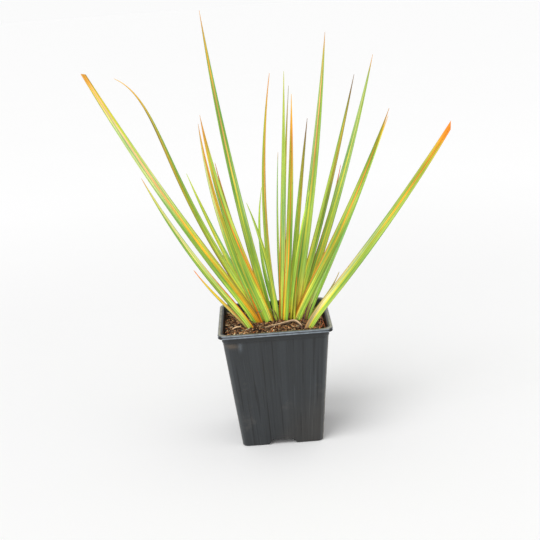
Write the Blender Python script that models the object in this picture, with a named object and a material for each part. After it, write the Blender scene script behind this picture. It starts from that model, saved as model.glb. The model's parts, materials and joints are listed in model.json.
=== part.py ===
"""Potted libertia: fans of stiff, sword-shaped leaves in a square nursery pot filled with compost.

The origin is the centre of the pot's foot, on the surface that the pot stands on. X runs to the right
along the pot's front face, Y to the back and Z up. Sizes are in metres and angles in degrees.
"""
import math
from collections import namedtuple

import bmesh
import bpy
from mathutils import Vector

MM = 0.001
GAP = 0.3 * MM

# Pot: a thin blown shell with a hollow rolled lip
POT_HEIGHT = 119 * MM
RIM_WIDTH = 109 * MM
MOUTH_WIDTH = 102.5 * MM
FOOT_WIDTH = 79 * MM
WALL = 1.0 * MM
LIP_HEIGHT = 3.8 * MM
LIP_WALL = 0.9 * MM
BAND_HEIGHT = 4.7 * MM
BAND_STEP = 0.6 * MM
BAND_BEVEL = 0.5 * MM
LIP_DRAFT = 0.2 * MM
MOUTH_STEP_DEPTH = 0.5 * MM
MOUTH_STEP_WIDTH = 0.6 * MM
FLOOR_ROUND = 1.2 * MM
FOOT_RADIUS = 6.0 * MM
RIM_RADIUS = 7.5 * MM
FOOT_ROUND = 1.2 * MM
FOOT_ROUND_START = 0.35 * MM
LIP_ROUND = 1.4 * MM
LIP_ROUND_START = 0.4 * MM
CORNER_STEPS = 5

# Pot foot: a raised channel runs in from the middle of each side, with a drain hole through its roof
CHANNEL_HEIGHT = 5.6 * MM
CHANNEL_WIDTH = 27 * MM
CHANNEL_TOP_WIDTH = 20.5 * MM
CHANNEL_INNER_END = 15 * MM
CHANNEL_OUTER_END = 60 * MM
DRAIN_RADIUS = 4.0 * MM
DRAIN_OFFSET = 27 * MM
DRAIN_SIDES = 16
CUTTER_REACH = 2 * MM

# Compost
SOIL_EDGE_LEVEL = 110.5 * MM
MOUND_HEIGHT = 4.5 * MM
MOUND_SPREAD = 26 * MM
MOUND_CENTRE = (0, -2 * MM)
LUMP_HEIGHT = 0.5 * MM
LUMP_RUN = (3.1 * MM, 2.7 * MM)
ROLL_RUN = (5.3 * MM, 4.1 * MM)
ROLL_SHARE = 0.6
SOIL_CELLS = 22
SOIL_CORNER_RADIUS = 7.8 * MM
SOIL_FOOT_INSET = 1.6 * MM

# Leaf blades
BLADE_EDGE = 0.6 * MM
BLADE_MIDRIB = 1.0 * MM
FOLD_SHARE = 0.07
TIP_WIDTH = 0.8 * MM
WIDTH_AT_FOOT = 0.86
FULL_WIDTH_AT = 0.18
TAPER_POWER = 2.2
TAPER_BLUNTNESS = 0.9
RIB_GAIN = 0.2
CROWN_UPRIGHT = 0.35
CROWN_REACH = 14 * MM
ROOT_DEPTH = 7 * MM
ROOT_PULL = 0.35
COLLAR = 4 * MM
CLEAR_OF_COLLAR = 1.3
HOOK_POWER = 9
BLADE_STATIONS = (0.05, 0.11, 0.18, 0.27, 0.37, 0.48, 0.59, 0.7, 0.8, 0.88, 0.94, 0.98, 1)
SHORT_STATIONS = (0.25, 0.5, 0.75, 0.92, 1)
SHORT_LEAF = 60 * MM
PATH_STEPS = 60

# Shading: faces that meet at a sharper angle, in degrees, keep an edge
SHARP_ANGLE = 35
LEAF_SHARP_ANGLE = 50
SOIL_SHARP_ANGLE = 60

# Crowns: the short stems under the soil that the leaves of a fan grow from
CROWN_SIDES = 18
CROWN_PROFILE = ((14 * MM, 0.55), (11.2 * MM, 0.82), (6.3 * MM, 1), (1 * MM, 0.96), (-0.6 * MM, 0.7))
HOLE_CLEARANCE = 0.4 * MM

# Dried leaf that lies over the front of the mound
DRY_WIDTH = 2.6 * MM
DRY_THICKNESS = 0.7 * MM
DRY_END_NARROWING = 0.45
DRY_TOP_SHARE = 0.9
DRY_CLEARANCE = 0.35 * MM

# A leaf's foot is in millimetres from the pot's middle. Lean is its slant to the right and nod its slant
# to the back where it leaves the crown, and bend and dip are what they gain by the tip. Turn is how far
# the blade faces away from the front, hook is extra lean in the last tenth, and cut is the share of the
# blade that is left where its point has been cut off, at a slant across the blade.
Leaf = namedtuple("Leaf", "foot lean bend nod dip length width turn hook cut slant", defaults=(0, 1, 0))
Fan = namedtuple("Fan", "crown crown_size colour leaves")

FANS = {
    "leaf_fan_outer_left": Fan((-24, -15), (4.8, 3.2), (0.46, 0.55, 0.10), (
        Leaf((-26.5, -14), -46, 18, -10, -12, 83, 3.4, 10),
        Leaf((-23, -16.5), -38, 16.5, -6, -10, 185, 6.8, 12),
    )),
    "leaf_fan_left": Fan((-10.5, -1.5), (7.5, 5.5), (0.42, 0.55, 0.10), (
        Leaf((-17, -4.5), -33.5, 9.5, -3, -10, 291, 9.6, 0, cut=0.82, slant=-0.7),
        Leaf((-12.5, -0.5), -32.5, 22, 2, 3, 276, 6.2, 15, hook=-55),
        Leaf((-12, -6), -24, 10.5, -8, -6, 40, 2.2, 0),
        Leaf((-14, 4), -27.5, 5.5, 16, 14, 167, 6.4, 35),
        Leaf((-12, -2.5), -23, 19.5, -1, -3, 205, 7.6, 8),
        Leaf((-8.5, -1.5), -18, 8.5, 3, 6, 163, 5.2, 20),
        Leaf((-4.5, -6.5), -21.5, 16, -5, -9, 219, 9.6, 4),
    )),
    "leaf_fan_middle": Fan((6, 1.5), (6.3, 6.5), (0.36, 0.55, 0.12), (
        Leaf((-4, 4.8), -12, 7, 0, 2, 304, 8.2, 0),
        Leaf((2.5, -4.5), -1.5, -15, -14, -16, 141, 5.2, 25),
        Leaf((3.5, 8), -19.5, 33.5, 20, 22, 141, 5.6, 50),
        Leaf((3, -1.5), -6.5, 17.5, 2, 5, 240, 5.4, 25),
        Leaf((8, 9), 0, 7.5, 20, 24, 179, 4.4, 55),
        Leaf((7.5, -0.5), 5, -1, 0, 0, 241, 5.8, -12),
        Leaf((11, 6.5), 3, 5, 9, 14, 232, 5.4, -55),
        Leaf((11, -5.5), 7, -4.5, -8, -14, 234, 6.8, -6),
    )),
    "leaf_fan_right": Fan((20.5, 2.5), (6.2, 6.8), (0.38, 0.56, 0.12), (
        Leaf((17, 3.5), 7.5, 3, 5, 8, 197, 6.4, -25),
        Leaf((15.5, -3), 8.5, 6, -7, -8, 137, 4.6, -40),
        Leaf((20, -0.5), 12.5, -6, -2, -4, 279, 9.2, 0),
        Leaf((19.6, -4.8), 5.5, 4, -4, -4, 46, 2.4, -10),
        Leaf((21.5, 4.5), 20, -4.5, 5, 2, 244, 6.8, -18),
        Leaf((26, 7), 23.5, -7, 6, 5, 267, 8.4, -12),
        Leaf((24.5, 11), 27, -7.5, 20, 20, 168, 5.6, -45),
        Leaf((22, -4), 31, -11.5, -8, -9, 231, 9.2, -4),
    )),
    "leaf_fan_outer_right": Fan((32.5, 0.5), (4, 3.2), (0.33, 0.50, 0.14), (
        Leaf((32, 0), 27.5, -4.5, 0, -1, 214, 6.8, -12),
        Leaf((34, 2), 56, -28.5, 6, 10, 56, 2.6, 0),
    )),
    "leaf_front_right": Fan((32.5, -25.5), (4.6, 3), (0.50, 0.56, 0.10), (
        Leaf((32.5, -25.5), 42, -10.5, -5, -9, 236, 9, 0, cut=0.78, slant=-1.7),
    )),
}

# The dried leaf's run over the compost, in millimetres from the pot's middle, and its extra rise over it
DRY_RUN = ((-9.5, -22.5, 0), (-2, -20.5, 0.4), (4.8, -19, 0.9), (12.2, -15.5, 1.5), (19.5, -13.5, 2.1),
           (23.6, -18, 1.1), (25.6, -22.6, 0))


def material(name, colour, roughness):
    """Return a plain material with this colour and roughness."""
    made = bpy.data.materials.new(name)
    made.use_nodes = True
    shader = made.node_tree.nodes["Principled BSDF"]
    shader.inputs["Base Color"].default_value = (*colour, 1)
    shader.inputs["Roughness"].default_value = roughness
    shader.inputs["Metallic"].default_value = 0
    return made


def add_object(name, mesh):
    """Put a mesh in the scene as an object."""
    made = bpy.data.objects.new(name, mesh)
    bpy.context.scene.collection.objects.link(made)
    return made


def finished_mesh(name, shape):
    """Turn a closed shape's faces outward and return it as a mesh."""
    bmesh.ops.recalc_face_normals(shape, faces=shape.faces)
    mesh = bpy.data.meshes.new(name)
    shape.to_mesh(mesh)
    shape.free()
    return mesh


def solid_from_rings(name, rings):
    """Skin a list of rings of points, cap both ends and return the solid as an object."""
    shape = bmesh.new()
    rows = [[shape.verts.new(point) for point in ring] for ring in rings]
    shape.faces.new(reversed(rows[0]))
    shape.faces.new(rows[-1])
    count = len(rows[0])
    for low, high in zip(rows, rows[1:]):
        for i in range(count):
            j = (i + 1) % count
            shape.faces.new((low[i], low[j], high[j], high[i]))
    return add_object(name, finished_mesh(name, shape))


def hull_of(name, points):
    """Return the convex hull of some points as an object."""
    shape = bmesh.new()
    for point in points:
        shape.verts.new(point)
    found = bmesh.ops.convex_hull(shape, input=shape.verts)
    spare = found["geom_interior"] + found["geom_unused"]
    loose = {item for item in spare if isinstance(item, bmesh.types.BMVert)}
    bmesh.ops.delete(shape, geom=list(loose), context="VERTS")
    return add_object(name, finished_mesh(name, shape))


def combine(body, tools, operation):
    """Join tools to a body, or cut them from it, with one exact Boolean, and remove the tools."""
    group = bpy.data.collections.new(body.name + "_tools")
    bpy.context.scene.collection.children.link(group)
    for tool in tools:
        for home in list(tool.users_collection):
            home.objects.unlink(tool)
        group.objects.link(tool)
    step = body.modifiers.new("combine", "BOOLEAN")
    step.operation = operation
    step.operand_type = "COLLECTION"
    step.collection = group
    step.solver = "EXACT"
    evaluated = body.evaluated_get(bpy.context.evaluated_depsgraph_get())
    result = bpy.data.meshes.new_from_object(evaluated)
    body.modifiers.clear()
    body.data = result
    for tool in list(group.objects):
        bpy.data.objects.remove(tool)
    bpy.data.collections.remove(group)
    tidy_mesh(result)


def tidy_mesh(mesh):
    """Merge the specks that a Boolean leaves, far below any size of the object."""
    shape = bmesh.new()
    shape.from_mesh(mesh)
    bmesh.ops.remove_doubles(shape, verts=shape.verts, dist=0.002 * MM)
    bmesh.ops.dissolve_degenerate(shape, edges=shape.edges, dist=0.002 * MM)
    shape.to_mesh(mesh)
    shape.free()


def smooth(piece, angle=SHARP_ANGLE):
    """Shade a piece smooth, except over edges sharper than an angle."""
    piece.data.shade_smooth()
    piece.data.set_sharp_from_angle(angle=math.radians(angle))


def square_ring(half_width, radius, height):
    """Return the points of a square with round corners, anticlockwise from above."""
    ring = []
    straight = half_width - radius
    for corner in range(4):
        start = math.radians(90 * corner)
        sign_x = (1, -1, -1, 1)[corner]
        sign_y = (1, 1, -1, -1)[corner]
        for step in range(CORNER_STEPS + 1):
            angle = start + math.radians(90) * step / CORNER_STEPS
            x = sign_x * straight + radius * math.cos(angle)
            y = sign_y * straight + radius * math.sin(angle)
            ring.append((x, y, height))
    return ring


def wall_half_width(height):
    """Return the outside half-width of the pot's tapered wall at a height."""
    share = height / POT_HEIGHT
    return (FOOT_WIDTH + (MOUTH_WIDTH - FOOT_WIDTH) * share) / 2


def corner_radius(height):
    """Return the radius of the pot's round corners at a height."""
    return FOOT_RADIUS + (RIM_RADIUS - FOOT_RADIUS) * height / POT_HEIGHT


def pot_outline():
    """Return the pot's outside from foot to rim, as half-widths and heights."""
    lip_foot = POT_HEIGHT - LIP_HEIGHT
    band_foot = lip_foot - BAND_HEIGHT
    band = wall_half_width(band_foot) + BAND_STEP
    rim = RIM_WIDTH / 2
    hollow_top = POT_HEIGHT - LIP_WALL
    return (
        (wall_half_width(0) - FOOT_ROUND, 0),
        (wall_half_width(0) - FOOT_ROUND_START, FOOT_ROUND_START),
        (wall_half_width(FOOT_ROUND), FOOT_ROUND),
        (wall_half_width(band_foot), band_foot),
        (band, band_foot + BAND_BEVEL),
        (band + LIP_DRAFT, hollow_top),
        (rim - LIP_WALL, hollow_top - LIP_DRAFT),
        (rim - LIP_WALL, lip_foot),
        (rim, lip_foot),
        (rim, POT_HEIGHT - LIP_ROUND),
        (rim - LIP_ROUND_START, POT_HEIGHT - LIP_ROUND_START),
        (rim - LIP_ROUND, POT_HEIGHT),
    )


def cavity_outline():
    """Return the pot's inside from floor to above the rim, as half-widths and heights."""
    floor_edge = WALL + FLOOR_ROUND
    step_height = POT_HEIGHT - MOUTH_STEP_DEPTH
    step_half_width = wall_half_width(POT_HEIGHT) + MOUTH_STEP_WIDTH
    return (
        (wall_half_width(WALL) - WALL - FLOOR_ROUND, WALL),
        (wall_half_width(floor_edge) - WALL, floor_edge),
        (wall_half_width(step_height) - WALL, step_height),
        (step_half_width, step_height + LIP_DRAFT),
        (step_half_width, POT_HEIGHT + CUTTER_REACH),
    )


def square_solid(name, outline):
    """Return a solid whose level sections are round-cornered squares along an outline."""
    rings = []
    for half_width, height in outline:
        radius = min(corner_radius(height), half_width)
        rings.append(square_ring(half_width, radius, height))
    return solid_from_rings(name, rings)


def channel_bars(name, grow):
    """Return one bar for each of the foot's channels, grown on the top, the sides and the inner end."""
    low = CHANNEL_WIDTH / 2 + grow
    high = CHANNEL_TOP_WIDTH / 2 + grow
    top = CHANNEL_HEIGHT + grow
    section = ((-low, -CUTTER_REACH), (low, -CUTTER_REACH), (low, 0), (high, top), (-high, top), (-low, 0))
    bars = []
    for along_x, along_y in ((1, 0), (0, 1), (-1, 0), (0, -1)):
        rings = []
        for end in (CHANNEL_INNER_END - grow, CHANNEL_OUTER_END):
            rings.append([(along_x * end - along_y * across, along_y * end + along_x * across, height)
                          for across, height in section])
        bars.append(solid_from_rings(name, rings))
    return bars


def drain_holes():
    """Return the upright cutters for the drain holes, one in each channel."""
    cutters = []
    for x, y in ((DRAIN_OFFSET, 0), (0, DRAIN_OFFSET), (-DRAIN_OFFSET, 0), (0, -DRAIN_OFFSET)):
        rings = []
        for height in (-CUTTER_REACH, CHANNEL_HEIGHT + WALL + CUTTER_REACH):
            ring = []
            for side in range(DRAIN_SIDES):
                angle = math.tau * side / DRAIN_SIDES
                ring.append((x + DRAIN_RADIUS * math.cos(angle), y + DRAIN_RADIUS * math.sin(angle), height))
            rings.append(ring)
        cutters.append(solid_from_rings("drain_hole", rings))
    return cutters


def build_pot():
    """Make the pot: outside less inside, with the channels raised through its floor."""
    pot = square_solid("pot", pot_outline())
    cavity = square_solid("cavity", cavity_outline())
    combine(cavity, channel_bars("raised_floor", WALL), "DIFFERENCE")
    combine(pot, [cavity], "DIFFERENCE")
    combine(pot, channel_bars("channel", 0), "DIFFERENCE")
    combine(pot, drain_holes(), "DIFFERENCE")
    pot.data.materials.append(material("pot_plastic", (0.045, 0.05, 0.053), 0.45))
    smooth(pot)


def mound_height(x, y):
    """Return the height of the compost's low mound, without its lumps: the leaves leave it there."""
    away = (x - MOUND_CENTRE[0]) ** 2 + (y - MOUND_CENTRE[1]) ** 2
    return SOIL_EDGE_LEVEL + MOUND_HEIGHT * math.exp(-away / (2 * MOUND_SPREAD ** 2))


def soil_height(x, y):
    """Return the height of the compost's surface with its lumps."""
    lumps = math.sin(x / LUMP_RUN[0] + 1.3) * math.sin(y / LUMP_RUN[1])
    lumps += ROLL_SHARE * math.sin(x / ROLL_RUN[0] - y / ROLL_RUN[1] + 0.7)
    return mound_height(x, y) + LUMP_HEIGHT * lumps


def round_corner(x, y, half_width, radius):
    """Move a point of a square to its place in the same square with round corners."""
    straight = half_width - radius
    over_x = abs(x) - straight
    over_y = abs(y) - straight
    if over_x <= 0 or over_y <= 0:
        return x, y
    squeeze = max(over_x, over_y) / math.hypot(over_x, over_y)
    return (math.copysign(straight + over_x * squeeze, x),
            math.copysign(straight + over_y * squeeze, y))


def soil_inside_half_width(height):
    """Return the half-width of the pot's inside at a height, less the gap to the compost."""
    return wall_half_width(height) - WALL - GAP


def build_soil(leaf_holes):
    """Make the compost: a solid fill with a lumpy mounded top, cut for the channels and the crowns."""
    shape = bmesh.new()
    half = soil_inside_half_width(SOIL_EDGE_LEVEL)
    radius = SOIL_CORNER_RADIUS
    top = {}
    for i in range(SOIL_CELLS + 1):
        for j in range(SOIL_CELLS + 1):
            along = half * (2 * i / SOIL_CELLS - 1)
            deep = half * (2 * j / SOIL_CELLS - 1)
            x, y = round_corner(along, deep, half, radius)
            top[i, j] = shape.verts.new((x, y, soil_height(x, y)))
    for i in range(SOIL_CELLS):
        for j in range(SOIL_CELLS):
            shape.faces.new((top[i, j], top[i + 1, j], top[i + 1, j + 1], top[i, j + 1]))
    steps = range(SOIL_CELLS)
    border = [top[i, 0] for i in steps]
    border += [top[SOIL_CELLS, j] for j in steps]
    border += [top[SOIL_CELLS - i, SOIL_CELLS] for i in steps]
    border += [top[0, SOIL_CELLS - j] for j in steps]
    low_height = WALL + GAP
    low_half = soil_inside_half_width(low_height) - SOIL_FOOT_INSET
    shrink = low_half / half
    low = [shape.verts.new((v.co.x * shrink, v.co.y * shrink, low_height)) for v in border]
    for i, corner in enumerate(border):
        j = (i + 1) % len(border)
        shape.faces.new((low[i], low[j], border[j], corner))
    shape.faces.new(reversed(low))
    soil = add_object("soil", finished_mesh("soil", shape))
    combine(soil, channel_bars("soil_channel", WALL + GAP), "DIFFERENCE")
    combine(soil, leaf_holes, "DIFFERENCE")
    soil.data.materials.append(material("compost", (0.085, 0.05, 0.03), 0.95))
    smooth(soil, SOIL_SHARP_ANGLE)


def blade_width(leaf, share):
    """Return a blade's width at a share of its length: full low down, and drawn out to a fine tip."""
    grown = share * leaf.cut
    swell = WIDTH_AT_FOOT + (1 - WIDTH_AT_FOOT) * min(1, grown / FULL_WIDTH_AT)
    taper = max(0, 1 - grown ** TAPER_POWER) ** TAPER_BLUNTNESS
    return max(leaf.width * MM * swell * taper, TIP_WIDTH)


def direction(leaf, share):
    """Return the direction in which a leaf grows at a share of its length."""
    upright = 1 - CROWN_UPRIGHT * math.exp(-share * leaf.length * MM / CROWN_REACH)
    lean = (leaf.lean + leaf.bend * share) * upright + leaf.hook * share ** HOOK_POWER
    nod = (leaf.nod + leaf.dip * share) * upright
    return Vector((math.tan(math.radians(lean)), math.tan(math.radians(nod)), 1)).normalized()


def leaf_point(leaf, share):
    """Return the point on a leaf's midrib at a share of its length above the soil."""
    steps = max(1, round(PATH_STEPS * share))
    x, y = leaf.foot[0] * MM, leaf.foot[1] * MM
    point = Vector((x, y, mound_height(x, y)))
    for step in range(steps):
        point += direction(leaf, share * (step + 0.5) / steps) * (leaf.length * MM * share / steps)
    return point


def blade_section(leaf, point, along, share, slant=0.0):
    """Return the six corners of a blade's section: two at each edge and two at the midrib."""
    turn = math.radians(leaf.turn)
    facing = Vector((math.sin(turn), -math.cos(turn), 0))
    across = along.cross(facing).normalized()
    normal = across.cross(along)
    half = blade_width(leaf, share) / 2
    fold = FOLD_SHARE * half * 2
    edge = BLADE_EDGE / 2
    rib = min(BLADE_MIDRIB, BLADE_EDGE + half * RIB_GAIN) / 2
    corners = []
    for side, out in ((-1, edge), (0, rib - fold), (1, edge), (1, -edge), (0, -rib - fold), (-1, -edge)):
        corners.append(point + across * (side * half) + normal * out + along * (side * half * slant))
    return corners


def leaf_stations(leaf):
    """Return the shares of a leaf's length at which its blade has a section."""
    collar = COLLAR / (leaf.length * MM)
    stations = SHORT_STATIONS if leaf.length * MM < SHORT_LEAF else BLADE_STATIONS
    return [0, collar] + [share for share in stations if share > collar * CLEAR_OF_COLLAR]


def leaf_rings(leaf, crown):
    """Return the sections of a leaf, from its root in the crown to its tip."""
    foot = leaf_point(leaf, 0)
    pull = Vector((crown[0] * MM - foot.x, crown[1] * MM - foot.y, 0)) * ROOT_PULL
    root = foot + pull - Vector((0, 0, ROOT_DEPTH))
    rings = [blade_section(leaf, root, Vector((0, 0, 1)), 0)]
    for share in leaf_stations(leaf):
        slant = leaf.slant if share == 1 else 0
        rings.append(blade_section(leaf, leaf_point(leaf, share), direction(leaf, share), share, slant))
    return rings


def crown_rings(fan):
    """Return the rings of a fan's crown, a short plug that ends just above the soil."""
    x, y = fan.crown[0] * MM, fan.crown[1] * MM
    ground = mound_height(x, y)
    rings = []
    for depth, swell in CROWN_PROFILE:
        ring = []
        for side in range(CROWN_SIDES):
            angle = math.tau * (side + 0.37) / CROWN_SIDES
            ring.append((x + fan.crown_size[0] * MM * swell * math.cos(angle),
                         y + fan.crown_size[1] * MM * swell * math.sin(angle), ground - depth))
        rings.append(ring)
    return rings


def build_fan(name, fan):
    """Make one fan: its leaves joined to its crown. Return the cutter for its plain hole in the soil."""
    crown = crown_rings(fan)
    in_soil = [Vector(point) for ring in crown for point in ring]
    blades = []
    for leaf in fan.leaves:
        rings = leaf_rings(leaf, fan.crown)
        in_soil += [point for ring in rings[:3] for point in ring]
        blades.append(solid_from_rings("blade", rings))
    shoot = solid_from_rings(name, crown)
    combine(shoot, blades, "UNION")
    shoot.data.materials.append(material(name + "_green", fan.colour, 0.42))
    smooth(shoot, LEAF_SHARP_ANGLE)
    around = [Vector((x, y, z)) * HOLE_CLEARANCE for x in (-1, 1) for y in (-1, 1) for z in (-1, 1)]
    return hull_of("crown_hole", [point + off for point in in_soil for off in around])


def rest_height(x, y):
    """Return the height at which the dried leaf's underside just clears the lumps under its width."""
    half = DRY_WIDTH / 2
    around = [soil_height(x + i * half, y + j * half) for i in (-1, 0, 1) for j in (-1, 0, 1)]
    return max(around) + DRY_CLEARANCE


def build_dry_leaf():
    """Make the dried leaf: a thin arched strip that rests on the compost at its two ends."""
    run = [Vector((x * MM, y * MM, rest_height(x * MM, y * MM) + rise * MM)) for x, y, rise in DRY_RUN]
    rings = []
    for i, point in enumerate(run):
        along = (run[min(i + 1, len(run) - 1)] - run[max(i - 1, 0)]).normalized()
        across = along.cross(Vector((0, 0, 1))).normalized()
        top = across.cross(along) * DRY_THICKNESS
        from_middle = 2 * i / (len(run) - 1) - 1
        half = DRY_WIDTH / 2 * (1 - DRY_END_NARROWING * from_middle ** 2)
        side = across * half
        rings.append([point - side, point + side,
                      point + side * DRY_TOP_SHARE + top, point - side * DRY_TOP_SHARE + top])
    dry = solid_from_rings("dry_leaf", rings)
    dry.data.materials.append(material("dry_leaf", (0.42, 0.26, 0.14), 0.8))
    smooth(dry)


def clear_scene():
    """Remove every object, so that the model stands alone."""
    for thing in list(bpy.data.objects):
        bpy.data.objects.remove(thing)


def main():
    clear_scene()
    build_pot()
    holes = [build_fan(name, fan) for name, fan in FANS.items()]
    build_soil(holes)
    build_dry_leaf()


main()
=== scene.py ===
"""Potted libertia: the looks of the leaves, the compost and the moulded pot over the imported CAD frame.

Everything is in metres, in the frame of the CAD: the origin is the centre of the pot's foot, X runs to
the right along the pot's front, Y to the back and Z up. Angles are in degrees.
"""
import json
import math
import random
from collections import namedtuple

import bmesh
import bpy
from mathutils import Matrix, Vector, noise

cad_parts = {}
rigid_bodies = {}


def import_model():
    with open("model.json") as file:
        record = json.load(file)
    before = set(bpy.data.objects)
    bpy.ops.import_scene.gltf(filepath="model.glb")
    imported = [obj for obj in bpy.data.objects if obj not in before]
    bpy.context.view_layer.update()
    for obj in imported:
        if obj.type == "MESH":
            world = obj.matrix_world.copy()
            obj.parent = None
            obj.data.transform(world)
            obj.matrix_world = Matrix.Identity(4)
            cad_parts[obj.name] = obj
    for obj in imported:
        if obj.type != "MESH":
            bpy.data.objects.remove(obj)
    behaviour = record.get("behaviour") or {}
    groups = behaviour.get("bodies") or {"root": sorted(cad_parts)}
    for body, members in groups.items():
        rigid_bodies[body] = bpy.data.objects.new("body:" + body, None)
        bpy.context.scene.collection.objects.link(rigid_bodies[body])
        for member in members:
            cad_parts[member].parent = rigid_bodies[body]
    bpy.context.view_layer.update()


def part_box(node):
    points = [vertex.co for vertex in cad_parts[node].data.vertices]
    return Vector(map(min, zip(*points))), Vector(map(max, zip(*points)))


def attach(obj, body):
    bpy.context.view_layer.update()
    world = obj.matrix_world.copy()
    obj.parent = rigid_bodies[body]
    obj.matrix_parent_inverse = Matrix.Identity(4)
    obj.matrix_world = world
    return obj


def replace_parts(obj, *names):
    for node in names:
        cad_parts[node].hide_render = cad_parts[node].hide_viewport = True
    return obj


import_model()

bl_info = {
    "name": "Potted Libertia",
    "version": (1, 0, 0),
    "blender": (4, 5, 0),
    "location": "3D View > Sidebar > Libertia",
    "description": "Grows a potted libertia: striped leaves, fibrous compost and a moulded nursery pot",
    "category": "Object",
}

MM = 0.001
VECTOR = "FLOAT_VECTOR"
COLOUR = "FLOAT_COLOR"
FIELDS = {"FLOAT": "value", VECTOR: "vector", COLOUR: "color"}

# The pot's sizes, as in the CAD
MOUTH_WIDTH = 102.5 * MM
WALL = 1.0 * MM
GAP = 0.3 * MM
LIP_HEIGHT = 3.8 * MM
LIP_WALL = 0.9 * MM
LIP_DRAFT = 0.2 * MM
BAND_HEIGHT = 4.7 * MM
BAND_STEP = 0.6 * MM
MOUTH_STEP_DEPTH = 0.5 * MM
MOUTH_STEP_WIDTH = 0.6 * MM
FLOOR_ROUND = 1.2 * MM
FOOT_RADIUS = 6.0 * MM
RIM_RADIUS = 7.5 * MM
FOOT_ROUND = 1.2 * MM
LIP_ROUND = 1.15 * MM
ROUND_STEPS = 5
CORNER_STEPS = 10
SIDE_STEPS = 30
WALL_STEPS = 52
CHANNEL_HEIGHT = 5.6 * MM
CHANNEL_WIDTH = 27 * MM
CHANNEL_TOP_WIDTH = 20.5 * MM
CHANNEL_INNER_END = 15 * MM
CHANNEL_OUTER_END = 60 * MM
CHANNEL_WAYS = ((1, 0), (0, 1), (-1, 0), (0, -1))
DRAIN_RADIUS = 4.0 * MM
DRAIN_OFFSET = 27 * MM
DRAIN_SIDES = 40
CUTTER_REACH = 2 * MM

# Short runs of the pot's outline, from the edge that each eases: millimetres out and up
BAND_FOOT_EASE = ((-0.15, 0.05), (0, 0.35))
BAND_TOP_EASE = ((0, 0.4),)
HOLLOW_EASE = ((-0.3, 0), (0, -0.4))
LIP_FOOT_EASE = ((0, 0.25),)
MOUTH_STEP_EASE = ((-0.35, 0.05), (0, 0.25))
MOUTH_TOP_EASE = ((0, -0.25), (0.3, 0.05))
WALL_END = 0.3 * MM
CAVITY_STATIONS = (0.3, 0.6, 0.85, 0.95)

# A crease under the band, at the front left, with a scuff and a glint in it, the glint a painted
# highlight. Each has its place on the front face and its spread.
DENT = ((-38 * MM, 106.8 * MM), (6.0 * MM, 2.2 * MM))
SCUFF = ((-42 * MM, 107 * MM), (5.5 * MM, 2.0 * MM))
GLINT = ((-33.3 * MM, 106.5 * MM), (1.2 * MM, 4.5 * MM))
DENT_DEPTH = 1.0 * MM
DENT_SLOPE = 0.12
BOW = 0.35 * MM
BOW_FOOT = 8 * MM
FACE_DEPTH = 1.6 * MM

# The lip's face, from its foot up: millimetres in from the rim's widest place, and over the lip's foot.
# Two beads with a groove between them run round it, each at a height and with a spread: the bead crests
# are tinted paler with rubbing and a painted highlight, and the groove is darkened with painted shade.
LIP_FACE = ((0.55, 0), (0.25, 0.1), (0.05, 0.35), (0, 0.6), (0.06, 0.95), (0.18, 1.3), (0.34, 1.6),
            (0.46, 1.85), (0.48, 2.05), (0.38, 2.22), (0.18, 2.36), (0.04, 2.5))
BEADS = ((1.05 * MM, 0.55 * MM), (3.05 * MM, 0.6 * MM))
GROOVE = (2.05 * MM, 0.3 * MM)
# Painted shade in the crease under the band (its offset from the band's foot, and spread) and under the
# lip (the heights under the lip's foot over which it comes in)
BAND_CREASE = (-0.3 * MM, 0.8 * MM)
LIP_SHADE = (-2.2 * MM, -0.4 * MM)
# Depths under the rim's top over which its dust and painted highlight come in
DUST_AND_HIGHLIGHT_DEPTH = (-0.5 * MM, -0.05 * MM)
# How strongly the pot's right and left corners carry dust and a painted highlight, and the shares of
# their turn at which these start and are full
CORNER_DUST_AND_HIGHLIGHT = {True: (0.5, 0.66, 0.98), False: (0.4, 0.8, 1)}
# The dust and painted highlight: on the corners, their reach, level, grain and upright stretch; on the
# rim's top, their share at the middle of the front and back, and the shares of the half-width over which
# they grow full towards the left and right
DUST_AND_HIGHLIGHT_REACH = (-0.05, 0.2)
DUST_AND_HIGHLIGHT_LEVEL = 0.75
DUST_AND_HIGHLIGHT_GRAIN = 9 * MM
DUST_AND_HIGHLIGHT_STRETCH = 3
RIM_DUST_AND_HIGHLIGHT = 0.3
RIM_DUST_AND_HIGHLIGHT_ENDS = (0.75, 0.98)
# How worn the band and the walls are at their corners, and how much of the draw lines the band shows
BAND_WEAR = 0.5
BAND_DRAWN = 0.15
WALL_WEAR = 0.35
WEAR_REACH = (0.2, 0.5)
# Strength of the painted shade in the crease under the band and in the lip's groove
CREASE_PAINTED_SHADE = 0.5
GROOVE_PAINTED_SHADE = 0.6
# Strength of the painted glint, a painted highlight, in the front crease
GLINT_STRENGTH = 0.5

# Compost
SOIL_EDGE_LEVEL = 110.5 * MM
MOUND_HEIGHT = 4.5 * MM
MOUND_SPREAD = 26 * MM
MOUND_CENTRE = (0, -2 * MM)
SOIL_CELLS = 150
SOIL_CORNER_RADIUS = 7.8 * MM
SOIL_FOOT_INSET = 1.6 * MM
# The lumps of the compost: height, size and shift of each noise, in millimetres
LUMPS = ((0.75, 6.5, (0, 0, 0)), (0.55, 2.6, (9, 4, 2)), (0.35, 1.2, (3, 8, 5)))
GAP_SIZE = 2.1
GAP_SHIFT = (17, 5, 1)
GAP_START = 0.22
GAP_DEPTH = 2.4
# Depths under the mound over which the bed is darkened to its gap colour with painted shade
HOLLOW_SHADE_DEPTHS = (-0.1 * MM, -1.0 * MM)

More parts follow.
